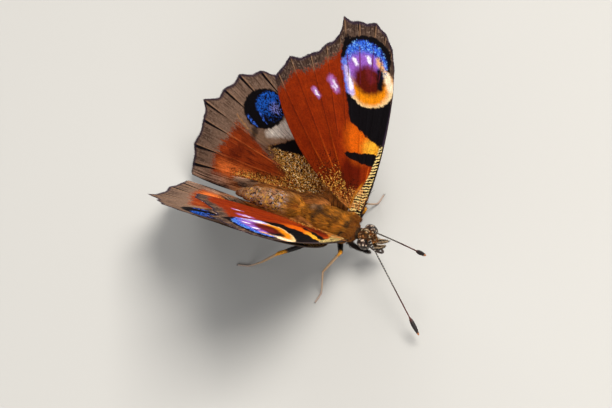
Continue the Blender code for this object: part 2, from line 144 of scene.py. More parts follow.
class Paint:
    """One material, whose nodes are written as sums of sockets."""

    def __init__(self, name: str, roughness: float, specular: float, place: str = "place") -> None:
        """Make the material.

        Args:
            name: the material's name.
            roughness: its roughness, the same all over.
            specular: its specular level, the same all over.
            place: the piece's own vector that the patterns follow.
        """
        self.material = bpy.data.materials.new(name)
        self.material.use_nodes = True
        self.tree = self.material.node_tree
        self.shader = self.tree.nodes["Principled BSDF"]
        self.shader.inputs["Roughness"].default_value = roughness
        self.shader.inputs["Specular IOR Level"].default_value = specular
        self.where = self.own(place, "Vector")

    def feed(self, socket: bpy.types.NodeSocket, value: Value | Colour) -> None:
        """Give a socket its value.

        Args:
            socket: the socket.
            value: what is linked to it, or its number or colour.
        """
        if isinstance(value, Sock):
            self.tree.links.new(value.socket, socket)
        elif isinstance(value, tuple):
            socket.default_value = (*map(linear, value), 1.0)
        else:
            socket.default_value = value

    def node(self, kind: str, settings: dict[str, object], inputs: dict[str | int, object],
             output: str | int = 0) -> Sock:
        """Add a node.

        Args:
            kind: the node's type.
            settings: the node's own settings, set before its sockets.
            inputs: the value or link of each socket, by name or number.
            output: the output that is handed back, by name or number.

        Returns:
            The output's socket.
        """
        made = self.tree.nodes.new(kind)
        for name, value in settings.items():
            setattr(made, name, value)
        for name, value in inputs.items():
            self.feed(made.inputs[name], value)
        return Sock(self, made.outputs[output])

    def maths(self, operation: str, *values: Value) -> Sock:
        """A Math node on the values."""
        return self.node("ShaderNodeMath", {"operation": operation}, dict(enumerate(values)))

    def step(self, value: Value, low: float, high: float) -> Sock:
        """A smooth step from 0 at low to 1 at high."""
        inputs = {"Value": value, "From Min": low, "From Max": high}
        return self.node("ShaderNodeMapRange", {"interpolation_type": "SMOOTHSTEP"}, inputs)

    def either(self, first: Value, second: Value) -> Sock:
        """The larger of two masks."""
        return self.maths("MAXIMUM", first, second)

    def both(self, first: Value, second: Value) -> Sock:
        """The smaller of two masks."""
        return self.maths("MINIMUM", first, second)

    def mix(self, share: Value, first: Shade, second: Shade) -> Sock:
        """A colour between two, by a share from 0 to 1."""
        settings = {"data_type": "RGBA", "clamp_factor": True}
        return self.node("ShaderNodeMix", settings, {0: share, 6: first, 7: second}, 2)

    def washed(self, colour: Shade, *washes: Wash) -> Shade:
        """The colour with others over it.

        Args:
            colour: the colour under them.
            washes: for each, the value that a smooth step follows, where the step is 0 and where
                it is 1, how strong the wash is and its colour.

        Returns:
            The colour with all of them.
        """
        for value, low, high, strength, tint in washes:
            share = self.step(value, low, high)
            colour = self.mix(share if strength == 1.0 else share * strength, colour, tint)
        return colour

    def parts(self, vector: Sock) -> tuple[Sock, Sock, Sock]:
        """The three numbers of a vector."""
        split = self.node("ShaderNodeSeparateXYZ", {}, {0: vector}, "X")
        return split, split.output("Y"), split.output("Z")

    def point(self, x: Value, y: Value, z: Value = 0.0) -> Sock:
        """A vector of three numbers."""
        return self.node("ShaderNodeCombineXYZ", {}, {0: x, 1: y, 2: z})

    def own(self, name: str, output: str = "Fac") -> Sock:
        """The piece's own number or vector of this name."""
        return self.node("ShaderNodeAttribute", {"attribute_name": name}, {}, output)

    def noise(self, scale: float, detail: float = 2.0, where: Sock | None = None) -> Sock:
        """Smooth noise, about 0.5 on average."""
        inputs = {"Vector": where or self.where, "Scale": scale, "Detail": detail}
        return self.node("ShaderNodeTexNoise", {}, inputs, "Fac")

    def cells(self, scale: float) -> Sock:
        """A random number for each small cell."""
        inputs = {"Vector": self.where, "Scale": scale}
        return self.parts(self.node("ShaderNodeTexVoronoi", {}, inputs, "Color"))[0]

    def finish(self, colour: Shade, height: Sock | None = None, depth: float = 0.0) -> Material:
        """Link the shader.

        Args:
            colour: its colour.
            height: a height from 0 to 1 for its bump.
            depth: how deep the bump is, in metres.

        Returns:
            The finished material.
        """
        self.feed(self.shader.inputs["Base Color"], colour)
        if height is not None:
            inputs = {"Height": height, "Distance": depth, "Strength": 1.0}
            self.feed(self.shader.inputs["Normal"], self.node("ShaderNodeBump", {}, inputs))
        return self.material


def as_mesh(name: str, shape: Solid) -> bpy.types.Mesh:
    """Make a mesh of a shape.

    Args:
        name: the mesh's name.
        shape: the shape, which is used up.

    Returns:
        The mesh.
    """
    mesh = bpy.data.meshes.new(name)
    shape.to_mesh(mesh)
    shape.free()
    return mesh


def placed(name: str, data: bpy.types.ID) -> bpy.types.Object:
    """Put a mesh, light or camera in the scene.

    Args:
        name: its name there.
        data: the mesh, light or camera.

    Returns:
        Its object.
    """
    thing = bpy.data.objects.new(name, data)
    bpy.context.collection.objects.link(thing)
    return thing


class Workshop:
    """Sets shapes drawn in the insect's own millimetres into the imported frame."""

    def __init__(self) -> None:
        """Find the insect's own axes from the places of its two eyes, and make the tuft."""
        eyes = [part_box(name) for name in ("eye_left", "eye_right")]
        middle = sum((low + high for low, high in eyes), Vector()) / 4.0
        axes = Matrix(((0.0, MM, 0.0, 0.0), (-MM, 0.0, 0.0, 0.0),
                       (0.0, 0.0, MM, 0.0), (0.0, 0.0, 0.0, 1.0)))
        self.to_frame = Matrix.Translation(middle) @ axes @ Matrix.Translation((-EYE_FORWARD, 0, 0))
        self.mould = TuftMould()

    def piece(self, name: str, shape: Solid, finishes: Sequence[Material], slot: str,
              replaced: Sequence[str] = ()) -> None:
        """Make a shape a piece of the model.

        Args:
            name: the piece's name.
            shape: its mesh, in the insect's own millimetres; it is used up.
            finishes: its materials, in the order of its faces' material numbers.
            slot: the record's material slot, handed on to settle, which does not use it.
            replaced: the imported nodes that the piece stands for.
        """
        mesh = as_mesh(name, shape)
        places = np.zeros(len(mesh.vertices) * 3, np.float32)
        mesh.vertices.foreach_get("co", places)
        mesh.attributes.new("place", "FLOAT_VECTOR", "POINT").data.foreach_set("vector", places)
        self.settle(mesh, finishes, slot, replaced)

    def settle(self, mesh: bpy.types.Mesh, finishes: Sequence[Material], slot: str,
               replaced: Sequence[str] = ()) -> None:
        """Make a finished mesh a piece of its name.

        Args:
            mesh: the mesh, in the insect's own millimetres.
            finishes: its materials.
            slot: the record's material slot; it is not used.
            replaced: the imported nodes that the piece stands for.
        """
        mesh.transform(self.to_frame)
        for material in finishes:
            mesh.materials.append(material)
        mesh.shade_smooth()
        thing = placed(mesh.name, mesh)
        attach(thing, "root")
        if replaced:
            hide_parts(*replaced)
        log.info("%s: %d faces", mesh.name, len(mesh.polygons))


def bezier(points: Sequence[Sequence[float]], share: float) -> Vector:
    """Point of a Bezier curve.

    Args:
        points: the curve's control points.
        share: how far along it the point is, from 0 to 1.

    Returns:
        The point.
    """
    left = [Vector(point) for point in points]
    while len(left) > 1:
        left = [a.lerp(b, share) for a, b in zip(left, left[1:])]
    return left[0]


def smooth_path(points: Sequence[Sequence[float]], steps: int) -> list[Vector]:
    """Points along a smooth curve that goes through every point given.

    Args:
        points: the places that the curve goes through.
        steps: how many steps each stretch between two of them has.

    Returns:
        The points, from the first place to the last.
    """
    knots = [Vector(point) for point in points]
    knots = [knots[0] * 2.0 - knots[1], *knots, knots[-1] * 2.0 - knots[-2]]
    path = []
    for a, b, c, d in zip(knots, knots[1:], knots[2:], knots[3:]):
        for step in range(steps):
            t = step / steps
            path.append((b * 2.0 + (c - a) * t + (a * 2.0 - b * 5.0 + c * 4.0 - d) * t * t
                         + (b * 3.0 - a - c * 3.0 + d) * t * t * t) / 2.0)
    path.append(knots[-2])
    return path


def wrap(rings: Sequence[Sequence[Vector]]) -> Solid:
    """A closed skin over rings of points, whose first and last ring close to a pole.

    Args:
        rings: the rings, each with the same number of points.

    Returns:
        The skin, with a vertex number "along" from 0 at the first ring to 1 at the last.
    """
    sides = len(rings[0])
    shape = bmesh.new()
    along = shape.verts.layers.float.new("along")
    bmesh.ops.create_grid(shape, x_segments=sides, y_segments=len(rings) + 1, size=1.0)
    shape.verts.ensure_lookup_table()
    middles = [sum(ring, Vector()) / sides for ring in rings]
    closed = [[middles[0]] * sides, *rings, [middles[-1]] * sides]
    for row, ring in enumerate(closed):
        for column in range(sides + 1):
            corner = shape.verts[row * (sides + 1) + column]
            corner.co = ring[column % sides]
            corner[along] = min(max((row - 1) / (len(rings) - 1), 0.0), 1.0)
    bmesh.ops.remove_doubles(shape, verts=shape.verts, dist=WELD)
    bmesh.ops.recalc_face_normals(shape, faces=shape.faces)
    return shape


def tube(path: Sequence[Vector], radii: Sequence[float], sides: int, flat: float = 1.0) -> Solid:
    """A closed round tube along a path.

    Args:
        path: the middle of each ring.
        radii: the radius of each ring.
        sides: how many sides the tube has.
        flat: its thickness across the path's own up, as a share of its width.

    Returns:
        The tube.
    """
    rings = []
    guide = Vector((0.0, 0.0, 1.0))
    for i, point in enumerate(path):
        forth = (path[min(i + 1, len(path) - 1)] - path[max(i - 1, 0)]).normalized()
        if abs(forth.dot(guide)) > STEEP:
            guide = Vector((1.0, 0.0, 0.0))
        side = forth.cross(guide).normalized()
        guide = rise = side.cross(forth)
        turns = [2.0 * math.pi * k / sides for k in range(sides)]
        rings.append([point + (side * math.cos(t) + rise * math.sin(t) * flat) * radii[i]
                      for t in turns])
    return wrap(rings)


def dome(centre: Sequence[float], radii: Sequence[float], fineness: int) -> Solid:
    """A closed ellipsoid of near-even triangles.

    Args:
        centre: its middle.
        radii: its three radii.
        fineness: how often its triangles are divided.

    Returns:
        The ellipsoid.
    """
    shape = bmesh.new()
    bmesh.ops.create_icosphere(shape, subdivisions=fineness, radius=1.0)
    bmesh.ops.scale(shape, verts=shape.verts, vec=radii)
    bmesh.ops.translate(shape, verts=shape.verts, vec=centre)
    return shape


def join(shapes: Sequence[Solid]) -> Solid:
    """Make one mesh of several.

    Args:
        shapes: the meshes, which are used up.

    Returns:
        The one mesh.
    """
    whole = bmesh.new()
    for shape in shapes:
        mesh = as_mesh("part", shape)
        whole.from_mesh(mesh)
        bpy.data.meshes.remove(mesh)
    return whole


def melt(shapes: Sequence[Solid], voxel: float) -> Solid:
    """One smooth closed skin over several closed shapes.

    Args:
        shapes: the shapes, which are used up.
        voxel: the size of the skin's cells, in millimetres.

    Returns:
        The skin.
    """
    mesh = as_mesh("melting", join(shapes))
    thing = placed("melting", mesh)
    remesh = thing.modifiers.new("skin", "REMESH")
    remesh.mode = "VOXEL"
    remesh.voxel_size = voxel
    bpy.context.view_layer.update()
    graph = bpy.context.evaluated_depsgraph_get()
    made = bpy.data.meshes.new_from_object(thing.evaluated_get(graph))
    shape = bmesh.new()
    shape.from_mesh(made)
    for _ in range(MELT_SMOOTHINGS):
        bmesh.ops.smooth_vert(shape, verts=shape.verts, factor=0.5, use_axis_x=True,
                              use_axis_y=True, use_axis_z=True)
    bmesh.ops.recalc_face_normals(shape, faces=shape.faces)
    bpy.data.objects.remove(thing)
    bpy.data.meshes.remove(mesh)
    bpy.data.meshes.remove(made)
    return shape


class Side(Enum):
    """The insect's two sides, with the sign of its left there."""

    LEFT = 1.0
    RIGHT = -1.0

    @property
    def word(self) -> str:
        """The side's name, as the nodes have it."""
        return self.name.lower()

    def turned(self, place: Place) -> Vector:
        """A place given for the left, turned to this side."""
        return Vector((place[0], place[1] * self.value, place[2]))


# The pattern on a wing is drawn on its plan, where u runs straight out from the body and v ahead
# when the wing is spread, in millimetres from its hinge.


@dataclass(frozen=True)
class Plan:
    """The place on a wing's plan as sockets."""

    paint: Paint
    u: Sock
    v: Sock

    def radius(self) -> Sock:
        """The distance from the plan's zero."""
        return self.paint.maths("SQRT", self.u * self.u + self.v * self.v)


@dataclass(frozen=True)
class Ellipse:
    """A soft-edged ellipse on a wing's plan."""

    centre: Spot
    radii: Spot
    turn: float = 0.0
    soft: float = 0.12

    def mask(self, plan: Plan) -> Sock:
        """Draw it.

        Args:
            plan: the place on the plan.

        Returns:
            Its mask, 1 inside.
        """
        cos, sin = math.cos(math.radians(self.turn)), math.sin(math.radians(self.turn))
        x, y = plan.u - self.centre[0], plan.v - self.centre[1]
        across = (x * cos + y * sin) / self.radii[0]
        along = (y * cos - x * sin) / self.radii[1]
        edge = self.soft / min(self.radii)
        return plan.paint.step(Plan(plan.paint, across, along).radius(), 1.0 + edge, 1.0 - edge)


@dataclass(frozen=True)
class Bar:
    """A soft-edged stroke with round ends on a wing's plan, which may taper."""

    start: Spot
    end: Spot
    radius: float
    tip: float
    soft: float = 0.1

    def mask(self, plan: Plan) -> Sock:
        """Draw it.

        Args:
            plan: the place on the plan.

        Returns:
            Its mask, 1 inside.
        """
        dx, dy = self.end[0] - self.start[0], self.end[1] - self.start[1]
        x, y = plan.u - self.start[0], plan.v - self.start[1]
        share = (x * dx + y * dy) / (dx * dx + dy * dy)
        share = plan.paint.both(plan.paint.either(share, 0.0), 1.0)
        off = Plan(plan.paint, x - share * dx, y - share * dy).radius()
        gap = off - share * (self.tip - self.radius)
        return plan.paint.step(gap, self.radius + self.soft, self.radius - self.soft)


@dataclass(frozen=True)
class Region:
    """All that lies on the left of every one of some lines on a wing's plan."""

    lines: tuple[tuple[Spot, Spot], ...]
    soft: float = 0.1

    def mask(self, plan: Plan) -> Sock:
        """Draw it.

        Args:
            plan: the place on the plan.

        Returns:
            Its mask, 1 inside.
        """
        whole = None
        for (ax, ay), (bx, by) in self.lines:
            length = math.hypot(bx - ax, by - ay)
            ahead = ((bx - ax) / length, (by - ay) / length)
            off = (plan.v - ay) * ahead[0] - (plan.u - ax) * ahead[1]
            part = plan.paint.step(off, -self.soft, self.soft)
            whole = part if whole is None else plan.paint.both(whole, part)
        return whole


@dataclass(frozen=True)
class Layer:
    """One colour of a wing's pattern, over those before it."""

    shape: Ellipse | Bar | Region
    colour: Colour
    strength: float = 1.0


BLACK = (12, 9, 12)
FOREWING_LAYERS = (
    Layer(Ellipse((5.6, 2.6), (3.2, 1.5), 42.0, 0.6), (88, 16, 3), 0.85),
    Layer(Ellipse((9.6, 6.1), (2.9, 1.8), 35.0, 1.0), (220, 96, 8)),
    Layer(Ellipse((8.1, 7.5), (1.5, 1.1), 50.0, 0.8), (240, 172, 46)),
    Layer(Bar((8.2, 3.5), (6.5, 6.7), 0.42, 1.05), BLACK),
    Layer(Region((((12.6, 6.4), (15.8, 7.7)), ((7.2, 9.0), (12.3, 6.5))), 0.14), BLACK),
)
FOREWING_EYESPOT = (
    Layer(Ellipse((19.8, 12.9), (3.05, 3.75)), BLACK),
    Layer(Ellipse((15.9, 11.6), (2.7, 3.3)), (240, 206, 150)),
    Layer(Ellipse((15.85, 11.4), (2.35, 2.6), 0.0, 0.45), (232, 136, 8)),
    Layer(Ellipse((19.3, 12.7), (2.95, 3.0), 0.0, 0.16), (52, 100, 214)),
    Layer(Ellipse((18.7, 11.9), (2.0, 2.7), 0.0, 0.7), (150, 92, 190)),
    Layer(Bar((19.0, 14.6), (15.2, 14.7), 0.4, 0.5, 0.25), (238, 176, 112)),
    Layer(Bar((17.0, 14.7), (15.0, 14.3), 0.4, 0.45, 0.2), (250, 226, 190)),
    Layer(Bar((20.2, 9.6), (16.5, 8.5), 0.45, 0.55, 0.2), (98, 120, 220)),
    Layer(Bar((19.3, 9.5), (16.0, 8.6), 0.42, 0.4, 0.25), (196, 178, 230)),
    Layer(Bar((18.4, 9.4), (16.6, 8.9), 0.16, 0.2, 0.15), (250, 246, 255)),
    Layer(Ellipse((16.9, 11.85), (2.0, 2.15), 12.0, 0.6), (88, 20, 6)),
    Layer(Bar((18.6, 12.6), (17.0, 12.4), 0.3, 0.5, 0.5), (112, 30, 40), 0.8),
    Layer(Bar((17.5, 14.1), (15.6, 13.0), 0.5, 0.42, 0.3), BLACK),
    Layer(Bar((20.1, 11.2), (19.4, 11.25), 0.24, 0.24, 0.18), (250, 244, 255)),
    Layer(Bar((19.8, 13.35), (19.2, 13.3), 0.24, 0.24, 0.18), (250, 244, 255)),
)
FOREWING_DOTS = (
    Layer(Bar((17.5, 3.05), (16.7, 3.2), 0.42, 0.36, 0.25), (196, 138, 216)),
    Layer(Bar((17.3, 3.1), (16.8, 3.18), 0.2, 0.18, 0.14), (252, 248, 255)),
    Layer(Bar((18.3, 6.35), (16.9, 6.5), 0.55, 0.45, 0.4), (176, 112, 190)),
    Layer(Bar((18.1, 6.6), (17.3, 6.65), 0.14, 0.16, 0.2), (246, 232, 250)),
    Layer(Bar((17.4, 6.2), (16.9, 6.3), 0.12, 0.12, 0.16), (240, 220, 246)),
)
HINDWING_RED = Region((((13.9, -11.5), (8.0, -8.0)), ((9.6, -18.6), (13.9, -11.5)),
                       ((5.5, -21.5), (10.4, -17.6))), 0.45)
HINDWING_LAYERS = (
    Layer(Ellipse((9.9, -13.6), (2.6, 0.8), 65.0, 0.6), (92, 26, 8), 0.6),
    # The orange glow by the fold is partly the wing's own orange and partly a painted sheen of lit
    # scales.
    Layer(Bar((7.8, -17.3), (6.4, -13.5), 1.15, 0.7, 0.9), (246, 130, 60), 0.85),
    Layer(Bar((14.9, -11.2), (12.9, -10.2), 0.12, 0.12, 0.15), (176, 128, 84)),
    Layer(Bar((12.9, -10.2), (9.6, -7.0), 0.12, 0.14, 0.15), (176, 128, 84), 0.8),
    Layer(Ellipse((12.4, -9.1), (1.5, 0.5), 40.0, 0.3), (30, 20, 16), 0.8),
)
HINDWING_CRESCENT = (
    Layer(Bar((11.1, -8.7), (11.9, -2.0), 0.7, 1.6, 0.25), (146, 116, 92)),
    Layer(Bar((11.7, -6.9), (12.0, -2.0), 0.5, 1.5, 0.4), (232, 224, 212)),
)
HINDWING_BLACK = (
    Layer(Region((((10.0, -7.9), (10.45, -2.0)), ((8.1, -2.6), (10.0, -7.9))), 0.16), BLACK),
    Layer(Ellipse((15.15, -6.1), (2.7, 3.8), -14.0, 0.14), BLACK),
)
HINDWING_BLUE = (
    Layer(Ellipse((15.6, -4.9), (1.7, 2.5), -12.0, 0.2), (30, 96, 205)),
    Layer(Bar((13.6, -5.6), (14.4, -3.0), 0.35, 0.6, 0.3), (30, 96, 205), 0.8),
    Layer(Bar((14.6, -7.1), (13.1, -6.7), 0.2, 0.16), (60, 110, 225)),
    Layer(Ellipse((14.9, -4.1), (0.7, 0.8), 0.0, 0.6), (150, 152, 228), 0.9),
    Layer(Bar((14.5, -9.4), (12.4, -8.2), 0.22, 0.22), (60, 110, 225)),
)


class WingPaint(Paint):
    """A wing's paint, which knows what the membrane says of each of its places."""

    plan_waver = 0.7
    lane_streaks = 16.0
    share_streaks = 10.0
    streak_reach = 2.6
    streak_width = 0.14
    border_tones = ((48, 34, 29), (86, 65, 54))

    def __init__(self, name: str, roughness: float, specular: float = 0.06) -> None:
        """Read the plan, with the small waver that rows of scales give it, and the distances.

        Args:
            name: the material's name.
            roughness: its roughness.
            specular: its specular level.
        """
        super().__init__(name, roughness, specular, "plan")
        self.colour: Shade = BLACK
        u, v, _ = self.parts(self.where)
        self.even_plan = Plan(self, u, v)
        inputs = {"Vector": self.where, "Scale": 2.2, "Detail": 4.0}
        x, y, _ = self.parts(self.node("ShaderNodeTexNoise", {}, inputs, "Color"))
        self.plan = Plan(self, u + (x - 0.5) * self.plan_waver, v + (y - 0.5) * self.plan_waver)
        self.rim, self.front, self.vein = self.parts(self.own("reach", "Vector"))
        lane, share, self.behind = self.parts(self.own("lane", "Vector"))
        where = self.point(lane * self.lane_streaks, share * self.share_streaks)
        self.streak = self.noise(1.0, 3.0, where)
        self.grain = self.cells(5.0)

    def wash(self, *washes: Wash) -> None:
        """Lay washes over the colour so far."""
        self.colour = self.washed(self.colour, *washes)

    def lay(self, share: Sock, tint: Shade) -> None:
        """Lay a tint over the colour so far, by a share from 0 to 1."""
        self.colour = self.mix(share, self.colour, tint)

    def pattern(self, layers: Sequence[Layer]) -> None:
        """Lay a pattern over the colour so far.

        Args:
            layers: the pattern's layers, the lowest first.
        """
        for layer in layers:
            mask = layer.shape.mask(self.plan)
            self.lay(mask if layer.strength == 1.0 else mask * layer.strength, layer.colour)

    def speckle(self, amount: Sock) -> None:
        """Scatter gold and black scales over the colour so far.

        Args:
            amount: how many there are, from 0 to 1.
        """
        fewer = (1.0 - amount) * 0.6
        first, second = self.cells(9.5) + fewer, self.cells(8.5) - fewer
        self.wash((first, 0.6, 0.54, 1.0, (18, 11, 9)), (second, 0.6, 0.65, 1.0, (224, 166, 74)),
                  (second, 0.86, 0.9, 1.0, (250, 226, 170)))

    def border(self, inside: Sock) -> None:
        """Lay the grey-brown border, its dark streaks and its dark rim.

        Args:
            inside: 1 where the border is.
        """
        dark, pale = self.border_tones
        rim, reach = self.rim, self.streak_reach
        self.lay(inside, self.washed(dark, (self.streak, 0.3, 0.7, 1.0, pale),
                                     (self.grain, 0.7, 0.95, 0.5, (150, 124, 106)),
                                     (rim, 0.8, 3.2, 0.45, (146, 117, 97))))
        near = self.step(rim, reach, 0.0)
        streak = self.step(self.behind - near * self.streak_width, 0.09, 0.01) * near
        beside = self.step(rim, reach * 1.1, 1.2) * 0.4
        self.wash((self.vein, 0.26, 0.1, beside, (176, 132, 96)),
                  (streak, 0.05, 0.4, 1.0, (12, 8, 10)), (rim, 0.5, 0.1, 0.8, (44, 33, 50)))

    def scaled(self, contrast: float, depth: float) -> Material:
        """Finish the paint with the grain of single scales and their rows.

        Args:
            contrast: how much lighter or darker a scale may be.
            depth: how deep the rows are, in metres.

        Returns:
            The finished material.
        """
        scale = self.cells(8.5)
        light = 1.0 + (scale + self.cells(4.0) * 0.5 - 0.75) * contrast
        inputs = {0: self.colour, "Scale": light}
        colour = self.node("ShaderNodeVectorMath", {"operation": "SCALE"}, inputs)
        return self.finish(colour, scale * 0.6 + self.streak * 0.4, depth)


def underside_finish(kind: str) -> Material:
    """The dark underside of a wing, with fine wavy lines like bark.

    Args:
        kind: forewing or hindwing.

    Returns:
        The material.
    """
    paint = WingPaint(kind + "_underside", 0.8, 0.1)
    warp = paint.noise(0.9, 4.0) * 3.2 + paint.noise(4.0, 2.0) * 0.5
    radius = paint.even_plan.radius()
    ripple = paint.maths("SINE", (radius + warp) * 13.0)
    paint.colour = (30, 22, 20)
    paint.wash((radius + warp * 0.6, 12.5, 14.0, 1.0, (66, 51, 44)),
               (ripple, 0.1, 0.9, 0.75, (12, 9, 10)), (paint.rim, 2.6, 1.8, 0.6, (34, 27, 28)),
               (paint.vein, 0.16, 0.05, 0.6, (84, 66, 54)))
    return paint.scaled(0.5, 0.00003)


def fringe_finish(kind: str) -> Material:
    """The fringe, dark with pale stretches between the veins."""
    paint = Paint(kind + "_fringe", 0.85, 0.1)
    pale = (paint.own("shade"), 0.6, 0.9, 1.0, (172, 158, 160))
    return paint.finish(paint.washed((46, 34, 48), pale))


class ForewingPaint(WingPaint):
    """The forewing's upper side."""

    stripe_length = 0.52

    def upper(self) -> Material:
        """The rust-red upper side with its eyespot, dark patches and striped front edge.

        Returns:
            The material.
        """
        plan, vein, streak = self.plan, self.vein, self.streak
        blur, radius = self.noise(0.7, 3.0), plan.radius()
        self.colour = self.mix(blur, (116, 27, 3), (162, 54, 7))
        self.wash((streak, 0.5, 0.75, 0.35, (88, 19, 3)), (streak, 0.42, 0.25, 0.2, (196, 84, 20)),
                  (vein, 0.22, 0.04, self.step(radius, 14.0, 5.0) * 0.7, (212, 94, 18)),
                  (vein, 0.1, 0.04, self.step(radius, 8.0, 13.0) * 0.55, (62, 13, 5)))
        self.pattern(FOREWING_LAYERS)
        inner = self.step(plan.v - plan.u * 0.1, 1.4, 0.0) * self.step(radius, 11.5, 4.0)
        dust = self.either(self.step(radius + blur * 1.5, 7.5, 2.5), inner)
        self.lay(dust * 0.35, (104, 50, 14))
        self.speckle(dust * 0.75)
        depth = self.rim + (streak - 0.5) * 1.2 + (self.grain - 0.5) * 0.8
        self.border(self.step(depth - plan.v * 0.03, 2.1, 1.3))
        self.pattern(FOREWING_DOTS + FOREWING_EYESPOT)
        self.eyespot_veins()
        self.front_edge()
        return self.scaled(0.4, 0.00004)

    def eyespot_veins(self) -> None:
        """Lay the thin dark veins that cross the eyespot, and its blue stipple."""
        spot = Ellipse((19.0, 12.2), (2.6, 3.2), 0.0, 0.3).mask(self.plan)
        speck = self.cells(7.0)
        ring = self.both(Ellipse((19.4, 12.8), (3.0, 3.1)).mask(self.plan),
                         1.0 - Ellipse((18.3, 12.2), (2.6, 2.5), 0.0, 0.4).mask(self.plan))
        self.wash((self.vein, 0.16, 0.05, spot * 0.75, (96, 24, 40)),
                  (speck, 0.7, 0.82, ring, (30, 36, 110)),
                  (speck, 0.2, 0.1, ring * 0.7, (128, 186, 236)))

    def front_edge(self) -> None:
        """Lay the front edge: cross stripes near the body, then a dark rim."""
        front = self.front
        along = self.plan.u * 0.69 + self.plan.v * 0.724
        width = 1.75 - along * 0.05
        waver = self.noise(2.4, 2.0) - 0.5
        phase = (along + front * 0.5 + waver * 0.45) * (2.0 * math.pi / self.stripe_length)
        wave = self.maths("SINE", phase) + waver * 0.6
        beyond = self.step(front, 0.16, 0.3)
        stripes = self.washed(BLACK, (wave, -0.05, 0.2, beyond, (244, 214, 136)))
        near, nearest = self.step(along, 12.2, 11.6), self.step(along, 6.0, 4.5)
        self.wash((front - width, 0.1, -0.1, near, stripes),
                  (abs(front - width - 0.2), 0.16, 0.08, nearest * 0.5, (226, 142, 26)),
                  (front, 0.75, 0.4, self.step(along, 11.4, 12.4), (50, 38, 54)))


class HindwingPaint(WingPaint):
    """The hindwing's upper side."""

    streak_reach = 6.0
    streak_width = 0.42
    border_tones = ((76, 58, 47), (136, 107, 89))

    def upper(self) -> Material:
        """The rust-red upper side with its eyespot and its wide grey-brown border.

        Returns:
            The material.
        """
        plan, streak, blur = self.plan, self.streak, self.noise(0.8, 3.0)
        self.colour = self.mix(blur, (128, 42, 12), (178, 74, 26))
        self.wash((streak, 0.48, 0.66, 0.65, (66, 22, 10)), (streak, 0.42, 0.25, 0.4, (206, 108, 50)),
                  (self.vein, 0.22, 0.05, 0.4, (198, 104, 48)))
        ragged = plan.u + (streak - 0.5) * 2.6 + (self.grain - 0.5) * 0.8
        red = HINDWING_RED.mask(Plan(self, ragged, plan.v))
        self.border((1.0 - red) * self.step(plan.radius(), 9.5, 12.0))
        self.pattern(HINDWING_LAYERS)
        self.wash((streak, 0.5, 0.66, red * 0.45, (84, 28, 12)))
        self.dust(blur)
        self.eyespot()
        self.fold()
        return self.scaled(0.4, 0.00004)

    def dust(self, blur: Sock) -> None:
        """Lay the gold dust near the body and along the inner field.

        Args:
            blur: soft noise, which the dust's edge follows.
        """
        plan, streak = self.plan, self.streak
        ragged = Plan(self, plan.u, plan.v + (streak - 0.5) * 2.4 + blur - 0.5)
        dust = Region((((0.0, -6.6), (9.0, -7.8)),), 1.7).mask(ragged)
        dust = dust * self.step(plan.u, 10.6, 9.8)
        inner = Bar((6.9, -15.8), (3.4, -6.5), 0.5, 1.9, 0.8).mask(ragged)
        self.lay(dust * 0.8, self.washed((150, 80, 28), (streak, 0.35, 0.65, 1.0, (78, 42, 18))))
        self.lay(inner * 0.7, self.washed((230, 124, 52), (streak, 0.4, 0.6, 1.0, (140, 70, 28))))
        self.speckle(self.either(dust, inner * 0.85))

    def eyespot(self) -> None:
        """Lay the eyespot: a pale crescent, black on both its sides, and blue amid black scales."""
        inside = HINDWING_CRESCENT[0].shape.mask(self.plan) * 0.55
        self.pattern(HINDWING_CRESCENT)
        self.wash((self.streak, 0.46, 0.62, inside, (92, 72, 58)))
        self.pattern(HINDWING_BLACK)
        under, self.colour = self.colour, BLACK
        self.pattern(HINDWING_BLUE)
        blue, self.colour = self.colour, under
        shadow = self.step(self.plan.u - self.plan.v * 0.6, 18.6, 17.0)
        inside = Ellipse((15.1, -6.1), (2.5, 3.6), -14.0).mask(self.plan)
        self.wash((self.cells(6.5) + shadow * 0.34, 0.66, 0.6, inside, blue))

    def fold(self) -> None:
        """Lay the streaked brown of the inner fold, and its dark end, a painted shade where the fold
        meets the body.
        """
        plan, streak = self.plan, self.streak
        inward = plan.u * 0.953 + plan.v * 0.303
        tawny = self.washed((96, 50, 16), (streak, 0.4, 0.6, 1.0, (210, 132, 56)))
        hairy = self.washed((62, 46, 40), (streak, 0.4, 0.6, 1.0, (184, 146, 122)),
                            (plan.v, -20.0, -14.0, 1.0, tawny))
        behind = self.step(plan.v, -17.0, -19.5)
        # The second wash is painted shade: dark at the rear of the fold, next to the body.
        self.wash((inward, 1.5, 0.4, 0.9, hairy), (inward, -0.2, -0.9, behind, (20, 14, 16)))


@dataclass(frozen=True)
class Vein:
    """A vein: where it bends and ends on the wing, and how far the edge before it dips in."""

    bends: tuple[Spot, ...]
    end: Spot
    dip: float
    raised_from: float = 0.0


@dataclass(frozen=True)
class WingPose:
    """How a wing is held: its rise above level, bend per millimetre, twist and swing, in degrees."""

    rise: float
    curl: float
    twist: float
    swing: float


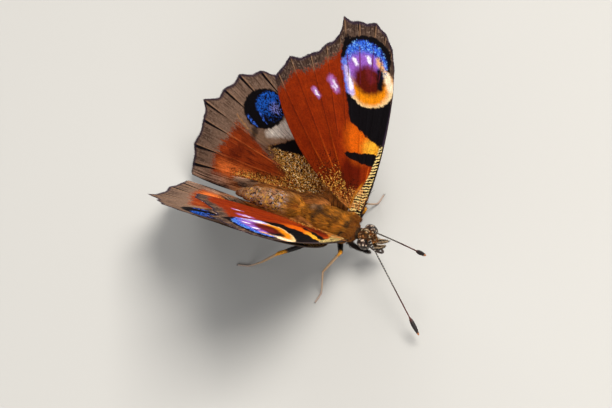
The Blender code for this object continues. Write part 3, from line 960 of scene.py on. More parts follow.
@dataclass(frozen=True)
class WingPlan:
    """A wing's shape: its hinge, its root and its veins from the front edge back."""

    hinge: Place
    root: float
    root_span: Spot
    camber: float
    spread_turn: float
    base_reach: float
    base_rise: float
    fold: bool
    veins: tuple[Vein, ...]
    dip_start: float = 0.75
    dip_scale: float = 0.62

    @property
    def lanes(self) -> int:
        """How many lanes lie between its veins."""
        return len(self.veins) - 1

    def stem(self, number: int, share: float) -> Vector:
        """Where a vein is, or inside the body before its start.

        Args:
            number: the vein's number.
            share: the share of its length, below 0 before its start.

        Returns:
            The place (out, ahead).
        """
        front, rear = self.root_span
        start = Vector((self.root, front + (rear - front) * number / self.lanes))
        if share < 0.0:
            return start + Vector((share * self.base_reach, 0.0))
        vein = self.veins[number]
        return bezier((start, *vein.bends, vein.end), share)

    def spot(self, number: float, share: float) -> tuple[Vector, float, float]:
        """A place on the wing.

        Args:
            number: the number of the vein, with how far the place is towards the next one.
            share: how far out it is, from 0 at the root to 1 at the outer edge.

        Returns:
            The place (out, ahead), its distance from the nearest raised vein and its distance
            behind the vein ahead of it.
        """
        lane = min(int(number), self.lanes - 1)
        part = number - lane
        front, rear = self.stem(lane, share), self.stem(lane + 1, share)
        width = (rear - front).length
        toward = (front.lerp(rear, 0.5) - Vector((self.root, 0.0))).normalized()
        dipping = max(0.0, (share - self.dip_start) / (1.0 - self.dip_start)) ** 2
        dip = self.veins[lane + 1].dip * dipping * self.dip_scale
        place = front.lerp(rear, part) - toward * dip * math.sin(math.pi * part) ** 2
        gaps = [width * part + max(0.0, self.veins[lane].raised_from - share) * VEIN_FADE,
                width * (1.0 - part) + max(0.0, self.veins[lane + 1].raised_from - share) * VEIN_FADE]
        behind = gaps[0] if part < 1.0 else 0.0
        return place, min(gaps), behind

    def spread(self, spot: Vector) -> Spot:
        """The place on the spread wing's plan of a place (out, ahead)."""
        turn = math.radians(self.spread_turn)
        return (spot.x * math.cos(turn) - spot.y * math.sin(turn),
                spot.x * math.sin(turn) + spot.y * math.cos(turn))


FOREWING = WingPlan((2.6, 1.86, 1.34), 0.45, (0.95, -0.9), 0.45, 31.7, 8.0, 60.0, False, (
    Vein(((9.3, 3.9),), (19.5, 4.6), 0.0),
    Vein(((11.2, 2.9),), (23.2, 4.6), 0.05),
    Vein(((12.1, 2.5),), (25.9, 4.2), 0.05),
    Vein(((13.0, 2.1),), (27.8, 3.2), 0.05, 0.3),
    Vein(((13.3, 1.6),), (28.9, 1.7), 0.1, 0.3),
    Vein(((13.6, 1.0),), (28.3, -0.7), 0.35, 0.3),
    Vein(((12.8, -0.2),), (28.3, -2.9), 0.5, 0.5),
    Vein(((12.1, -1.4),), (25.6, -3.4), 0.5, 0.5),
    Vein(((11.1, -2.9),), (23.5, -5.3), 0.45, 0.5),
    Vein(((10.1, -3.6),), (21.3, -7.6), 0.45, 0.3),
    Vein(((8.3, -4.7),), (19.9, -10.6), 0.6, 0.3),
    Vein(((6.7, -6.3),), (16.9, -12.3), 0.15, 0.1),
    Vein(((5.5, -10.7),), (16.0, -12.7), 0.0, 1.0),
))
HINDWING = WingPlan((-0.45, 2.19, -0.17), 0.95, (1.4, -1.2), 0.3, 28.1, 18.0, 15.0, True, (
    Vein(((8.6, 5.2),), (16.1, -6.2), 0.0),
    Vein(((10.3, -0.9),), (16.6, -9.6), 0.2, 0.1),
    Vein(((9.7, -4.1),), (15.8, -13.2), 0.5, 0.1),
    Vein(((8.3, -6.7),), (13.9, -16.7), 0.5, 0.5),
    Vein(((6.7, -8.7),), (10.8, -19.1), 0.5, 0.5),
    Vein(((4.6, -10.4),), (7.8, -22.5), 1.2, 0.5),
    Vein(((3.1, -10.1),), (4.9, -22.5), 0.45, 0.3),
    Vein(((1.1, -10.2),), (0.4, -24.0), 0.4, 0.1),
    Vein(((-0.6, -10.9),), (-2.6, -24.1), 0.2, 0.1),
    Vein(((1.0, -6.0), (-5.2, -11.0)), (-4.5, -24.4), 0.0, 1.0),
))


@dataclass
class Assembly:
    """A part of the insect, which sets its pieces in the frame and draws its own numbers."""

    shop: Workshop
    generator: np.random.Generator


@dataclass
class Wing(Assembly):
    """One wing: a thin membrane with raised veins, its fringe and its hair.

    A hindwing also has an inner fold, which leaves its inner edge and lies against the body.
    """

    name: str
    plan: WingPlan
    pose: WingPose
    side: Side
    body: Body
    rows: int = 104
    base_rows: int = 6
    base_share: float = 0.1
    lane_steps: tuple[float, ...] = (0.0, 0.035, 0.08, 0.18, 0.34, 0.5, 0.66, 0.82, 0.92, 0.965)
    fold_steps: int = 8
    fold_turn: Spot = (24.0, -14.0)
    fold_taper: Spot = (0.6, 0.74)
    fold_margin: float = 0.15
    fold_sag: float = 0.12
    membrane_half: float = 0.055
    edge_half: float = 0.03
    vein_half: float = 0.075
    vein_width: float = 0.13
    pleat: float = 0.05
    swing_start: float = 1.0
    unwrap_size: float = 80.0
    fringe_scales: int = 560
    base_hairs: int = 2200
    fold_hairs: int = 6800
    fold_stretch: float = 1.7
    under_hairs: int = 1400
    strand_count: int = 200

    def place(self, out: float, ahead: float, proud: float) -> Vector:
        """Where a place on the wing lies in the insect.

        Args:
            out: the distance out from the hinge.
            ahead: the distance ahead of the hinge.
            proud: the height over the wing's middle surface.

        Returns:
            The place (forward, left, up).
        """
        pose = self.pose
        rise, curl = math.radians(pose.rise), math.radians(pose.curl)
        turned = Vector((out, ahead))
        if out > self.swing_start:
            turned.rotate(Matrix.Rotation(math.radians(pose.swing), 2))
        slope = rise + curl * max(turned.x, 0.0)
        left, up = turned.x * math.cos(rise), turned.x * math.sin(rise)
        if turned.x > 0.0 and curl > 0.0:
            left = (math.sin(slope) - math.sin(rise)) / curl
            up = (math.cos(rise) - math.cos(slope)) / curl
        lift = turned.y * math.sin(math.radians(pose.twist))
        left -= lift * math.sin(rise) + proud * math.sin(slope)
        up += lift * math.cos(rise) + proud * math.cos(slope)
        hinge = self.plan.hinge
        forward = hinge[0] + turned.y * math.cos(math.radians(pose.twist))
        return Vector((forward, (hinge[1] + left) * self.side.value, hinge[2] + up))

    def surface(self, number: float, share: float, proud: float = 0.0) -> Vector:
        """Where a place on the wing or its fold lies in the insect.

        Args:
            number: the number of the vein and the part of the way to the next, and beyond the
                last vein the part of the way across the fold.
            share: how far out it is.
            proud: the height over the wing's middle surface.

        Returns:
            The place (forward, left, up).
        """
        lanes = self.plan.lanes
        if share < 0.0:
            base = math.radians(self.plan.base_rise)
            outward = Vector((0.0, math.cos(base) * self.side.value, math.sin(base)))
            return self.surface(number, 0.0, proud) + outward * share * self.plan.base_reach
        spot = self.plan.spot(min(number, lanes), share)[0]
        if number > lanes:
            return self.fold(spot, number - lanes, share, proud)
        outward = math.sin(math.pi * max(share, 0.0))
        arch = self.plan.camber * math.sin(math.pi * number / lanes)
        pleat = self.pleat * math.sin(math.pi * number)
        return self.place(spot.x, spot.y, (arch + pleat) * outward + proud)

    def fold(self, spot: Vector, part: float, share: float, proud: float) -> Vector:
        """Where a place on the inner fold lies, between the wing's inner edge and the body.

        Args:
            spot: the place (out, ahead) on the wing's inner edge.
            part: how far across the fold the place is, from 0 to 1.
            share: how far out it is.
            proud: the height over the fold's middle surface.

        Returns:
            The place (forward, left, up).
        """
        edge = self.place(spot.x, spot.y, 0.0)
        margin = self.place(spot.x - self.fold_margin, spot.y, 0.0)
        low, high = self.fold_taper
        leave = min(max((share - low) / (high - low), 0.0), 1.0)
        leave = leave * leave * (3.0 - 2.0 * leave)
        turn = self.fold_turn[0] + (self.fold_turn[1] - self.fold_turn[0]) * min(share / low, 1.0)
        end = self.body.flank(edge.x, self.side, turn).lerp(margin, leave)
        across = end - edge
        sign = self.side.value
        normal = Vector((0.0, across.z * sign, -across.y * sign)).normalized()
        sag = Vector((0.0, 0.0, -self.fold_sag)) * math.sin(math.pi * part) * (1.0 - leave)
        return edge.lerp(end, part) + sag + normal * proud

    def thickness(self, number: float, share: float, from_vein: float) -> float:
        """Half the wing's thickness at a place.

        Args:
            number: its column.
            share: how far out it is.
            from_vein: its distance from the nearest raised vein.

        Returns:
            Half the thickness.
        """
        thin = self.membrane_half + (self.edge_half - self.membrane_half) * max(share, 0.0)
        if from_vein > self.vein_width or number > self.plan.lanes:
            return thin
        rise = math.cos(math.pi / 2.0 * from_vein / self.vein_width)
        return thin + self.vein_half * rise * (1.0 - 0.6 * share)

    def numbers(self) -> list[float]:
        """The wing's columns.

        Returns:
            Them, as numbers of veins and parts of the way to the next.
        """
        lanes = self.plan.lanes
        columns = [lane + part for lane in range(lanes) for part in self.lane_steps]
        folded = self.fold_steps if self.plan.fold else 0
        return columns + [lanes + k / self.fold_steps for k in range(folded + 1)]

    def build(self, upper: Material, under: Material) -> None:
        """Build the membrane.

        Args:
            upper: the finish of its upper side.
            under: the finish of its underside and edges.
        """
        shares = [-self.base_share * (1.0 - row / self.base_rows) for row in range(self.base_rows)]
        shares += [row / self.rows for row in range(self.rows + 1)]
        numbers = self.numbers()
        shape = bmesh.new()
        layers = [shape.verts.layers.float_vector.new(name) for name in ("plan", "reach", "lane")]
        sheet = len(numbers) * len(shares)
        for first, sign in ((0, 1.0), (sheet, -1.0)):
            bmesh.ops.create_grid(shape, x_segments=len(numbers) - 1, y_segments=len(shares) - 1,
                                  size=1.0)
            shape.verts.ensure_lookup_table()
            for j, number in enumerate(numbers):
                tip = self.plan.spot(min(number, self.plan.lanes), 1.0)[0]
                for i, share in enumerate(shares):
                    corner = shape.verts[first + i * len(numbers) + j]
                    self.shape_corner(corner, layers, number, share, sign, tip)
        for face in shape.faces:
            face.material_index = int(face.verts[0].index >= sheet)
        edge = [line for line in shape.edges if line.is_boundary]
        for face in bmesh.ops.bridge_loops(shape, edges=edge)["faces"]:
            face.material_index = 1
        bmesh.ops.recalc_face_normals(shape, faces=shape.faces)
        self.shop.piece(self.name + "_membrane", shape, (upper, under), self.kind, (self.name,))

    def shape_corner(self, corner: bmesh.types.BMVert, layers: Sequence[object], number: float,
                     share: float, sign: float, tip: Vector) -> None:
        """Put one corner of a sheet in its place.

        Args:
            corner: the corner.
            layers: the layers for its place on the plan, its distances and its lane.
            number: its column.
            share: how far out it is.
            sign: 1 on the upper sheet and -1 on the lower.
            tip: the outer end of its column.
        """
        lanes = self.plan.lanes
        spot, from_vein, behind = self.plan.spot(min(number, lanes), share)
        beyond = max(number - lanes, 0.0)
        half = self.thickness(number, share, from_vein)
        corner.co = self.surface(number, share, sign * half)
        from_vein += beyond
        corner[layers[0]] = (*self.plan.spread(spot - Vector((beyond, 0.0))), 0.0)
        front = (self.plan.stem(0, share) - spot).length
        corner[layers[1]] = ((tip - spot).length, front, from_vein)
        corner[layers[2]] = (number, share, behind + beyond)

    @property
    def kind(self) -> str:
        """Forewing or hindwing."""
        return self.name.split("_")[0]

    def stand(self, spots: Sequence[Spot], lift: float, face: float = 1.0,
              reach: Spot = (0.0, 0.02)) -> Stand:
        """Where tufts stand on the wing.

        Args:
            spots: the column and the share out of each tuft's root.
            lift: the roots' height over the middle surface.
            face: 1 for the upper side and -1 for the underside.
            reach: how far in and out of a root its way is measured.

        Returns:
            Where they stand.
        """
        rows = []
        for number, share in spots:
            root = self.surface(number, share, face * lift)
            over = self.surface(number, share, face * (lift + 1.0))
            outer, inner = share + reach[1], share - reach[0]
            way = self.surface(number, outer) - self.surface(number, inner)
            beyond = max(number - self.plan.lanes, 0.0)
            spot = self.plan.spot(min(number, self.plan.lanes), share)[0]
            spread = self.plan.spread(spot - Vector((beyond, 0.0)))
            rows.append((root, (over - root).normalized(), way.normalized(), spread))
        roots, normals, ways, plans = (np.array(column) for column in zip(*rows))
        return Stand(roots, normals, ways, plans / self.unwrap_size + 0.5)

    def fringe(self, finish: Material) -> None:
        """Set the short fringe of scales along the outer edge.

        Args:
            finish: the fringe's material.
        """
        count = self.fringe_scales
        numbers = np.linspace(0.05, self.plan.lanes - 0.05, count)
        stand = self.stand([(number, 1.0) for number in numbers], 0.0, reach=(0.03, 0.0))
        shades = np.sin(np.pi * (numbers % 1.0)) ** 2 * self.generator.uniform(0.5, 1.0, count)
        coat = Coat("fringe_" + self.name, self.kind, 0.045, 3.0, flat=0.25, sunk=0.0)
        coat.build(self, finish, stand, self.generator.uniform(0.12, 0.26, count), shades)

    def hair(self, upper: Material, under: Material) -> None:
        """Set the hair on the wing's base, and on a hindwing's inner fold.

        Args:
            upper: the material of the upper side's hair.
            under: the material of the underside's hair.
        """
        lanes, draw = self.plan.lanes, self.generator
        drawn = draw.uniform(0.0, 1.0, (self.base_hairs, 2))
        spots = [(lanes * a, -0.04 + 0.16 * b ** 1.3) for a, b in drawn]
        stretch = np.ones(len(spots))
        if self.plan.fold:
            drawn = draw.uniform(0.0, 1.0, (self.fold_hairs, 2))
            spots += [(lanes + 1.0 - 1.9 * a ** 1.1, -0.04 + 0.74 * b) for a, b in drawn]
            stretch = np.append(stretch, np.full(self.fold_hairs, self.fold_stretch))
        shades = self.strands(np.array(spots), stretch > 1.0)
        stand = self.stand(spots, self.edge_half)
        coat = Coat("hair_" + self.name, self.kind, 0.036, 7.0, flat=0.4, sunk=0.03, stray=0.05,
                    clump_lean=0.1)
        coat.build(self, upper, stand, draw.uniform(0.7, 1.3, len(spots)) * stretch, shades)
        drawn = draw.uniform(0.0, 1.0, (self.under_hairs, 2))
        stand = self.stand([(lanes * a, 0.26 * b ** 1.3) for a, b in drawn], self.edge_half, -1.0)
        coat = Coat("hair_under_" + self.name, self.kind, 0.028, 12.0, flat=0.4, sunk=0.03)
        coat.build(self, under, stand, draw.uniform(0.6, 1.1, self.under_hairs))

    def strands(self, spots: np.ndarray, fine: np.ndarray) -> np.ndarray:
        """The shades of hairs that lie in strands of a few tones.

        Args:
            spots: the column and the share out of each hair's root.
            fine: whether each hair lies in one of the fold's fine strands.

        Returns:
            Each hair's shade.
        """
        draw, count = self.generator, len(spots)
        tones = draw.uniform(0.0, 1.0, (self.strand_count, 8))
        rank = spots[:, 0] * np.where(fine, 15.0, 2.0) + draw.normal(0.0, 0.2, count)
        rank = np.clip(rank, 0.0, self.strand_count - 1.0).astype(int)
        turn = ((spots[:, 1] + 0.1) * 6.0 + rank * 0.37).astype(int) % 8
        return tones[rank, turn] * 0.7 + draw.uniform(0.0, 0.3, count)


WING_POSES = {
    ("forewing", Side.LEFT): WingPose(57.2, 0.0, -1.9, 0.0),
    ("forewing", Side.RIGHT): WingPose(64.2, 0.0, -1.9, -2.2),
    ("hindwing", Side.LEFT): WingPose(57.0, 0.0, 2.6, 0.0),
    ("hindwing", Side.RIGHT): WingPose(51.5, 1.2, 3.4, 0.0),
}


@dataclass
class Wings(Assembly):
    """The four wings, of which the hindwings' folds lie against the body."""

    body: Body

    def build(self) -> None:
        """Build the wings with their fringes and hair."""
        warm = HairFinish("wing_hair", (44, 30, 25), (206, 166, 136), (222, 136, 52), 13.5)
        dark = HairFinish("wing_hair_dark", (20, 15, 14), (66, 50, 42))
        upper_hair, under_hair = warm.material(), dark.material()
        for kind, plan, paint, roughness in (("forewing", FOREWING, ForewingPaint, 0.75),
                                             ("hindwing", HINDWING, HindwingPaint, 0.78)):
            upper = paint(kind + "_upper", roughness).upper()
            under, fringe = underside_finish(kind), fringe_finish(kind)
            for side in Side:
                wing = Wing(self.shop, self.generator, f"{kind}_{side.word}", plan,
                            WING_POSES[kind, side], side, self.body)
                wing.build(upper, under)
                wing.fringe(fringe)
                wing.hair(upper_hair, under_hair)


class TuftMould:
    """The one small tapered tuft that every coat repeats."""

    cuts = (0.3, 0.65)

    def __init__(self) -> None:
        """Make the tuft, a three-sided spike with a few bends."""
        shape = bmesh.new()
        bmesh.ops.create_cone(shape, cap_ends=True, segments=3, radius1=1.0, radius2=0.0, depth=1.0)
        bmesh.ops.translate(shape, verts=shape.verts, vec=(0.0, 0.0, 0.5))
        for height in self.cuts:
            bmesh.ops.bisect_plane(shape, geom=shape.verts[:] + shape.edges[:] + shape.faces[:],
                                   plane_co=(0.0, 0.0, height), plane_no=(0.0, 0.0, 1.0))
        shape.verts.index_update()
        self.points = np.array([corner.co for corner in shape.verts])
        self.faces = [[corner.index for corner in face.verts] for face in shape.faces]
        shape.free()


@dataclass
class Stand:
    """Where tufts stand: roots, the skin's normals, ways to lean and places on an unwrap."""

    roots: np.ndarray
    normals: np.ndarray
    ways: np.ndarray
    unwrap: np.ndarray


def unit(rows: np.ndarray) -> np.ndarray:
    """Each row made one long."""
    return rows / np.linalg.norm(rows, axis=1, keepdims=True)


@dataclass
class Coat:
    """Many tufts in one mesh."""

    name: str
    slot: str
    width: float
    lie: float
    curl: float = 0.35
    flat: float = 0.5
    sunk: float = 0.06
    stray: float = 0.1
    clump: float = 0.7
    clump_lean: float = 0.22

    def build(self, maker: Assembly, finish: Material, stand: Stand, lengths: np.ndarray,
              shades: np.ndarray | None = None) -> None:
        """Set the tufts.

        Args:
            maker: has the shop and draws the small differences between tufts.
            finish: the coat's material.
            stand: where the tufts stand.
            lengths: each tuft's length.
            shades: a number for each tuft that its colour follows, or none for a random one.
        """
        draw, mould, normals = maker.generator, maker.shop.mould, stand.normals
        count, corners = len(stand.roots), len(mould.points)
        lean, tint = self.locks(stand.roots, draw)
        ways = self.levelled(stand.ways, normals)
        ways = self.levelled(ways + draw.normal(0.0, self.stray, (count, 3)) + lean, normals)
        angles = np.radians(self.lie * draw.uniform(0.5, 1.5, count))[:, None]
        widths = (self.width * draw.uniform(0.7, 1.2, count))[:, None]
        along = mould.points[:, 2]
        taper = np.where(along < 0.999, (1.0 - along) ** 0.55 / np.maximum(1.0 - along, 1e-3), 0.0)
        x, y = mould.points[:, 0] * taper, mould.points[:, 1] * taper * self.flat
        forth = lengths[:, None] * np.cos(angles) * along
        rise = lengths[:, None] * np.sin(angles) * along * (1.0 - self.curl * along) - self.sunk
        points = (stand.roots[:, None] + np.cross(ways, normals)[:, None] * (x * widths)[..., None]
                  + normals[:, None] * (y * widths + rise)[..., None]
                  + ways[:, None] * forth[..., None])
        mesh = bpy.data.meshes.new(self.name)
        mesh.from_pydata(points.reshape(-1, 3).tolist(), [],
                         [[index + tuft * corners for index in face]
                          for tuft in range(count) for face in mould.faces])
        if shades is None:
            shades = draw.uniform(0.0, 0.45, count) + tint * 0.55
        for name, kind, field, values in (
                ("along", "FLOAT", "value", np.tile(along, count)),
                ("shade", "FLOAT", "value", np.repeat(shades, corners)),
                ("place", "FLOAT_VECTOR", "vector", np.repeat(stand.roots, corners, axis=0))):
            made = mesh.attributes.new(name, kind, "POINT")
            made.data.foreach_set(field, values.astype(np.float32).ravel())
        self.unwrap(mesh, stand, mould)
        maker.shop.settle(mesh, (finish,), self.slot)

    @staticmethod
    def levelled(ways: np.ndarray, normals: np.ndarray) -> np.ndarray:
        """The ways, one long and level with the skin."""
        return unit(ways - normals * np.sum(ways * normals, axis=1, keepdims=True))

    @staticmethod
    def unwrap(mesh: bpy.types.Mesh, stand: Stand, mould: TuftMould) -> None:
        """Give each tuft a small patch of the unwrap, at its root's place.

        Args:
            mesh: the coat's mesh.
            stand: where the tufts stand.
            mould: the tuft that it repeats.
        """
        x, along = mould.points[:, 0], mould.points[:, 2]
        patch = np.column_stack((x / 2.0, along - 0.5)) * BAKE_PATCH
        spots = (stand.unwrap[:, None] + patch).reshape(-1, 2)
        loops = np.zeros(len(mesh.loops), np.int32)
        mesh.loops.foreach_get("vertex_index", loops)
        bake = mesh.uv_layers.new(name="OFBake")
        bake.data.foreach_set("uv", spots[loops].astype(np.float32).ravel())

    def locks(self, roots: np.ndarray, draw: np.random.Generator) -> tuple[np.ndarray, np.ndarray]:
        """The locks that tufts are in.

        Args:
            roots: where each tuft stands.
            draw: draws the locks' differences.

        Returns:
            How much further each tuft leans with its lock, and the lock's tint.
        """
        cells = np.floor(roots / self.clump + draw.normal(0.0, 0.18, roots.shape)).astype(int)
        _, lock = np.unique(cells, axis=0, return_inverse=True)
        lock = lock.ravel()
        lean = draw.normal(0.0, self.clump_lean, (lock.max() + 1, 3))
        return lean[lock], draw.uniform(0.0, 1.0, lock.max() + 1)[lock]


Weight = Callable[[np.ndarray], np.ndarray] | None


class Ground:
    """A skin's triangles, on which tufts are set."""

    def __init__(self, shape: Solid) -> None:
        """Read the skin's triangles.

        Args:
            shape: the skin, which is left as it is.
        """
        copy = shape.copy()
        bmesh.ops.triangulate(copy, faces=copy.faces)
        copy.normal_update()
        self.corners = np.array([[corner.co for corner in face.verts] for face in copy.faces])
        self.normals = np.array([face.normal for face in copy.faces])
        self.areas = np.array([face.calc_area() for face in copy.faces])
        copy.free()

    def scatter(self, count: int, draw: np.random.Generator,
                weight: Weight = None) -> tuple[np.ndarray, np.ndarray]:
        """Random roots on the skin.

        Args:
            count: how many.
            draw: draws them.
            weight: how thickly they stand at each place, or none for alike all over.

        Returns:
            The roots and the normals there.
        """
        share = self.areas * (1.0 if weight is None else weight(self.corners.mean(axis=1)))
        picked = draw.choice(len(share), count, p=share / share.sum())
        a, b = draw.uniform(0.0, 1.0, (2, count))
        flip = a + b > 1.0
        a, b = np.where(flip, 1.0 - a, a), np.where(flip, 1.0 - b, b)
        corners = self.corners[picked]
        roots = corners[:, 0] + (corners[:, 1] - corners[:, 0]) * a[:, None]
        roots = roots + (corners[:, 2] - corners[:, 0]) * b[:, None]
        return roots, self.normals[picked]

    def stand(self, count: int, draw: np.random.Generator, way: Sequence[float], low: Spot,
              span: float, axes: tuple[int, int] = (0, 2), weight: Weight = None) -> Stand:
        """Random roots on the skin, for tufts that lean one way.

        Args:
            count: how many.
            draw: draws them.
            way: the way that they lean.
            low: where the unwrap begins along its two axes.
            span: how long it is along each.
            axes: the two axes: 0 for forward, 1 for left and 2 for up.
            weight: how thickly they stand at each place, or none for alike all over.

        Returns:
            Where they stand.
        """
        roots, normals = self.scatter(count, draw, weight)
        return Stand(roots, normals, np.tile(way, (count, 1)), (roots[:, axes] - low) / span)


class BodyPaint(Paint):
    """The colours of the body, alike on its skin and on its coat."""

    segment_length = 1.37

    def __init__(self, name: str, roughness: float, specular: float, haired: bool) -> None:
        """Read the place and the shade.

        Args:
            name: the material's name.
            roughness: its roughness.
            specular: its specular level.
            haired: whether the shade differs from hair to hair.
        """
        super().__init__(name, roughness, specular)
        self.shade: Value = self.own("shade") if haired else 0.4
        self.forward, self.left, self.up = self.parts(self.where)
        self.blur = self.noise(1.1, 3.0)

    def colour(self) -> Shade:
        """The body's colour at a place.

        Returns:
            The colour.
        """
        forward, up, blur = self.forward, self.up, self.blur
        colour = self.washed(self.fur(), (forward + blur, -4.6, -6.4, 1.0, self.rear()),
                             (forward, 3.75, 3.95, 1.0, self.face()))
        # Painted shade: dark in the neck between head and collar, and in the groove between collar
        # and back.
        neck = self.step(abs(forward - 3.85), 0.3, 0.12)
        collar_groove_shade = self.step(abs(forward - 2.75 + self.left * self.left * 0.12), 0.3, 0.1)
        collar_groove_shade = collar_groove_shade * self.step(up, 0.6, 1.1) * self.step(blur, 0.36, 0.5)
        colour = self.mix(self.either(neck * 0.9, collar_groove_shade * 0.95), colour, (16, 11, 9))
        below = self.step(up + blur * 0.8, 0.5, -0.4)
        below = below * self.step(abs(self.left) - up * 0.2, 0.2, 1.0)
        below = self.either(below, self.step(up, -0.9, -1.5))
        deep = self.washed((22, 17, 16), (self.shade, 0.7, 1.0, 0.5, (84, 64, 48)))
        return self.mix(below, colour, deep)

    def face(self) -> Shade:
        """The head's red-brown scales, with cream, gold and black specks among them.

        Returns:
            The colour.
        """
        speck = self.cells(5.5)
        return self.washed(self.mix(self.shade, (46, 24, 15), (128, 68, 36)),
                           (speck, 0.42, 0.36, 0.9, (18, 11, 10)),
                           (speck, 0.74, 0.78, 1.0, (224, 150, 78)),
                           (speck, 0.87, 0.9, 1.0, (248, 226, 186)))

    def fur(self) -> Shade:
        """The thorax's tawny fur, with the dark seams of its back.

        Returns:
            The colour.
        """
        shade = self.shade
        where = self.point(self.forward * 0.7, self.left * 2.4, self.up * 2.4)
        back = Plan(self, self.forward, self.left)
        seam = Bar((1.0, 0.0), (-1.1, 0.12), 0.14, 0.2, 0.14).mask(back)
        for side in (0.95, -0.95):
            seam = self.either(seam, Bar((-1.0, 0.15), (-1.8, side), 0.26, 0.2, 0.16).mask(back))
        grey = Ellipse((-2.1, 0.75), (0.9, 0.55), 0.0, 0.4).mask(back)
        strand = (self.noise(1.6, 3.0, where), 0.4, 0.6, 1.0, (224, 140, 36))
        fur = self.washed((108, 62, 8), strand, (shade, 0.5, 1.0, 0.5, (222, 148, 58)),
                          (shade, 0.4, 0.0, 0.75, (58, 32, 12)),
                          (self.blur, 0.55, 0.7, 0.4, (176, 84, 22)),
                          (self.forward, 2.7, 2.9, 0.8, (104, 50, 4)))
        return self.mix(seam * 0.92, self.mix(grey * 0.65, fur, (150, 128, 110)), (44, 32, 30))

    def rear(self) -> Shade:
        """The abdomen's scales: gold, black and grey-brown, with a pale edge to each segment.

        Returns:
            The colour.
        """
        speck, other = self.cells(4.6), self.cells(5.2)
        turn = self.maths("FRACT", (-4.6 - self.forward) / self.segment_length)
        return self.washed(self.mix(self.blur, (158, 102, 68), (216, 152, 106)),
                           (speck + self.shade * 0.1, 0.48, 0.43, 1.0, (20, 16, 28)),
                           (other - self.shade * 0.1, 0.6, 0.65, 1.0, (230, 166, 72)),
                           (other, 0.92, 0.95, 1.0, (186, 178, 188)),
                           (self.forward + self.blur * 1.5, -12.0, -13.6, 0.8, (140, 84, 48)),
                           (abs(turn - 0.5), 0.42, 0.48, 0.45, (200, 168, 128)))


def skin_finish() -> Material:
    """The skin under the coat, a little darker than it."""
    paint = BodyPaint("body_skin", 0.75, 0.15, False)
    colour = paint.mix(0.45, paint.colour(), (22, 13, 9))
    return paint.finish(colour, paint.noise(9.0, 3.0), 0.00006)


def coat_finish() -> Material:
    """The coat, darker at its roots and paler at its tips.

    Returns:
        The material.
    """
    paint = BodyPaint("body_coat", 0.65, 0.12, True)
    along = paint.own("along")
    return paint.finish(paint.washed(paint.colour(), (along, 0.4, 0.0, 0.5, (24, 13, 8)),
                                     (along, 0.5, 1.0, 0.15, (238, 184, 112))))


@dataclass(frozen=True)
class HairFinish:
    """Hair of a few tones, which may turn to a warm one near the insect's middle."""

    name: str
    dark: Colour
    pale: Colour
    warm: Colour = (0, 0, 0)
    warm_reach: float = 0.0

    def material(self) -> Material:
        """The hair, darker at its roots.

        Returns:
            The material.
        """
        paint = Paint(self.name, 0.75, 0.25)
        shade = paint.own("shade")
        colour = paint.washed(self.dark, (shade, 0.28, 0.72, 1.0, self.pale))
        if self.warm_reach > 0.0:
            away = paint.node("ShaderNodeVectorMath", {"operation": "LENGTH"}, {0: paint.where},
                              "Value")
            away = away + paint.noise(0.8) * 3.0 - self.warm_reach
            tawny = paint.washed(self.warm, (shade, 0.5, 0.2, 0.85, self.dark))
            colour = paint.washed(colour, (away, 3.0, 0.0, 0.9, tawny))
        return paint.finish(paint.washed(colour, (paint.own("along"), 0.4, 0.0, 0.4, (24, 14, 9))))


class EyeFinish:
    """The compound eye: dark brown, glossy and finely faceted, with a few painted highlights as pale
    specks.
    """

    def material(self) -> Material:
        """The eye's material.

        Returns:
            The material.
        """
        paint = Paint("eye_facets", 0.28, 0.34)
        facets = paint.node("ShaderNodeTexVoronoi", {"feature": "DISTANCE_TO_EDGE"},
                            {"Vector": paint.where, "Scale": 11.0}, "Distance")
        patch = paint.noise(2.2, 3.0)
        # Pale specks on the light patches: painted highlights on the glossy eye, not its own colour.
        pale = paint.step(patch, 0.42, 0.52) * 0.9
        colour = paint.washed((15, 9, 8), (patch, 0.42, 0.62, 1.0, (60, 33, 25)),
                              (paint.cells(5.5), 0.8, 0.84, pale, (226, 200, 174)),
                              (facets, 0.05, 0.0, 0.5, (8, 5, 5)))
        return paint.finish(colour, paint.step(facets, 0.0, 0.2), 0.00003)


@dataclass(frozen=True)
class FeelerFinish:
    """The antennae: black with pale rings, browner outwards, with a dark club and a pale tip."""

    joints: int

    def material(self) -> Material:
        """The antenna's material.

        Returns:
            The material.
        """
        paint = Paint("antenna_rings", 0.5, 0.3)
        along = paint.own("along")
        turn = paint.maths("FRACT", along * float(self.joints))
        ringed = paint.step(along, 0.6, 0.4) * 0.7
        colour = paint.washed((20, 13, 12), (along, 0.35, 0.75, 1.0, (74, 30, 22)),
                              (abs(turn - 0.5), 0.34, 0.44, ringed, (196, 186, 172)),
                              (along, 0.82, 0.88, 1.0, (22, 12, 12)),
                              (along, 0.972, 0.985, 1.0, (156, 100, 64)))
        return paint.finish(colour, paint.noise(22.0), 0.00002)


class LegFinish:
    """The legs: black thighs, an orange knee and tan shins and feet."""

    def material(self) -> Material:
        """The leg's material, which follows how far along the leg a place is.

        Returns:
            The material.
        """
        paint = Paint("leg_cuticle", 0.5, 0.25)
        part = paint.own("part")
        colour = paint.mix(paint.noise(6.0, 3.0), (206, 170, 132), (146, 112, 80))
        colour = paint.washed(colour, (part, 1.9, 2.6, 0.8, (172, 152, 142)),
                              (part, 1.12, 0.98, 1.0, (222, 146, 30)),
                              (part, 0.93, 0.86, 1.0, (20, 15, 14)))
        return paint.finish(colour, paint.noise(16.0), 0.00003)


@dataclass(frozen=True)
class PlainFinish:
    """A finish of two tones with a fine grain, for the tongue, the palps and the claws."""

    name: str
    first: Colour
    second: Colour
    roughness: float

    def material(self) -> Material:
        """The material."""
        paint = Paint(self.name, self.roughness, 0.4)
        grain = paint.noise(14.0, 3.0)
        return paint.finish(paint.mix(grain, self.first, self.second), grain, 0.00003)


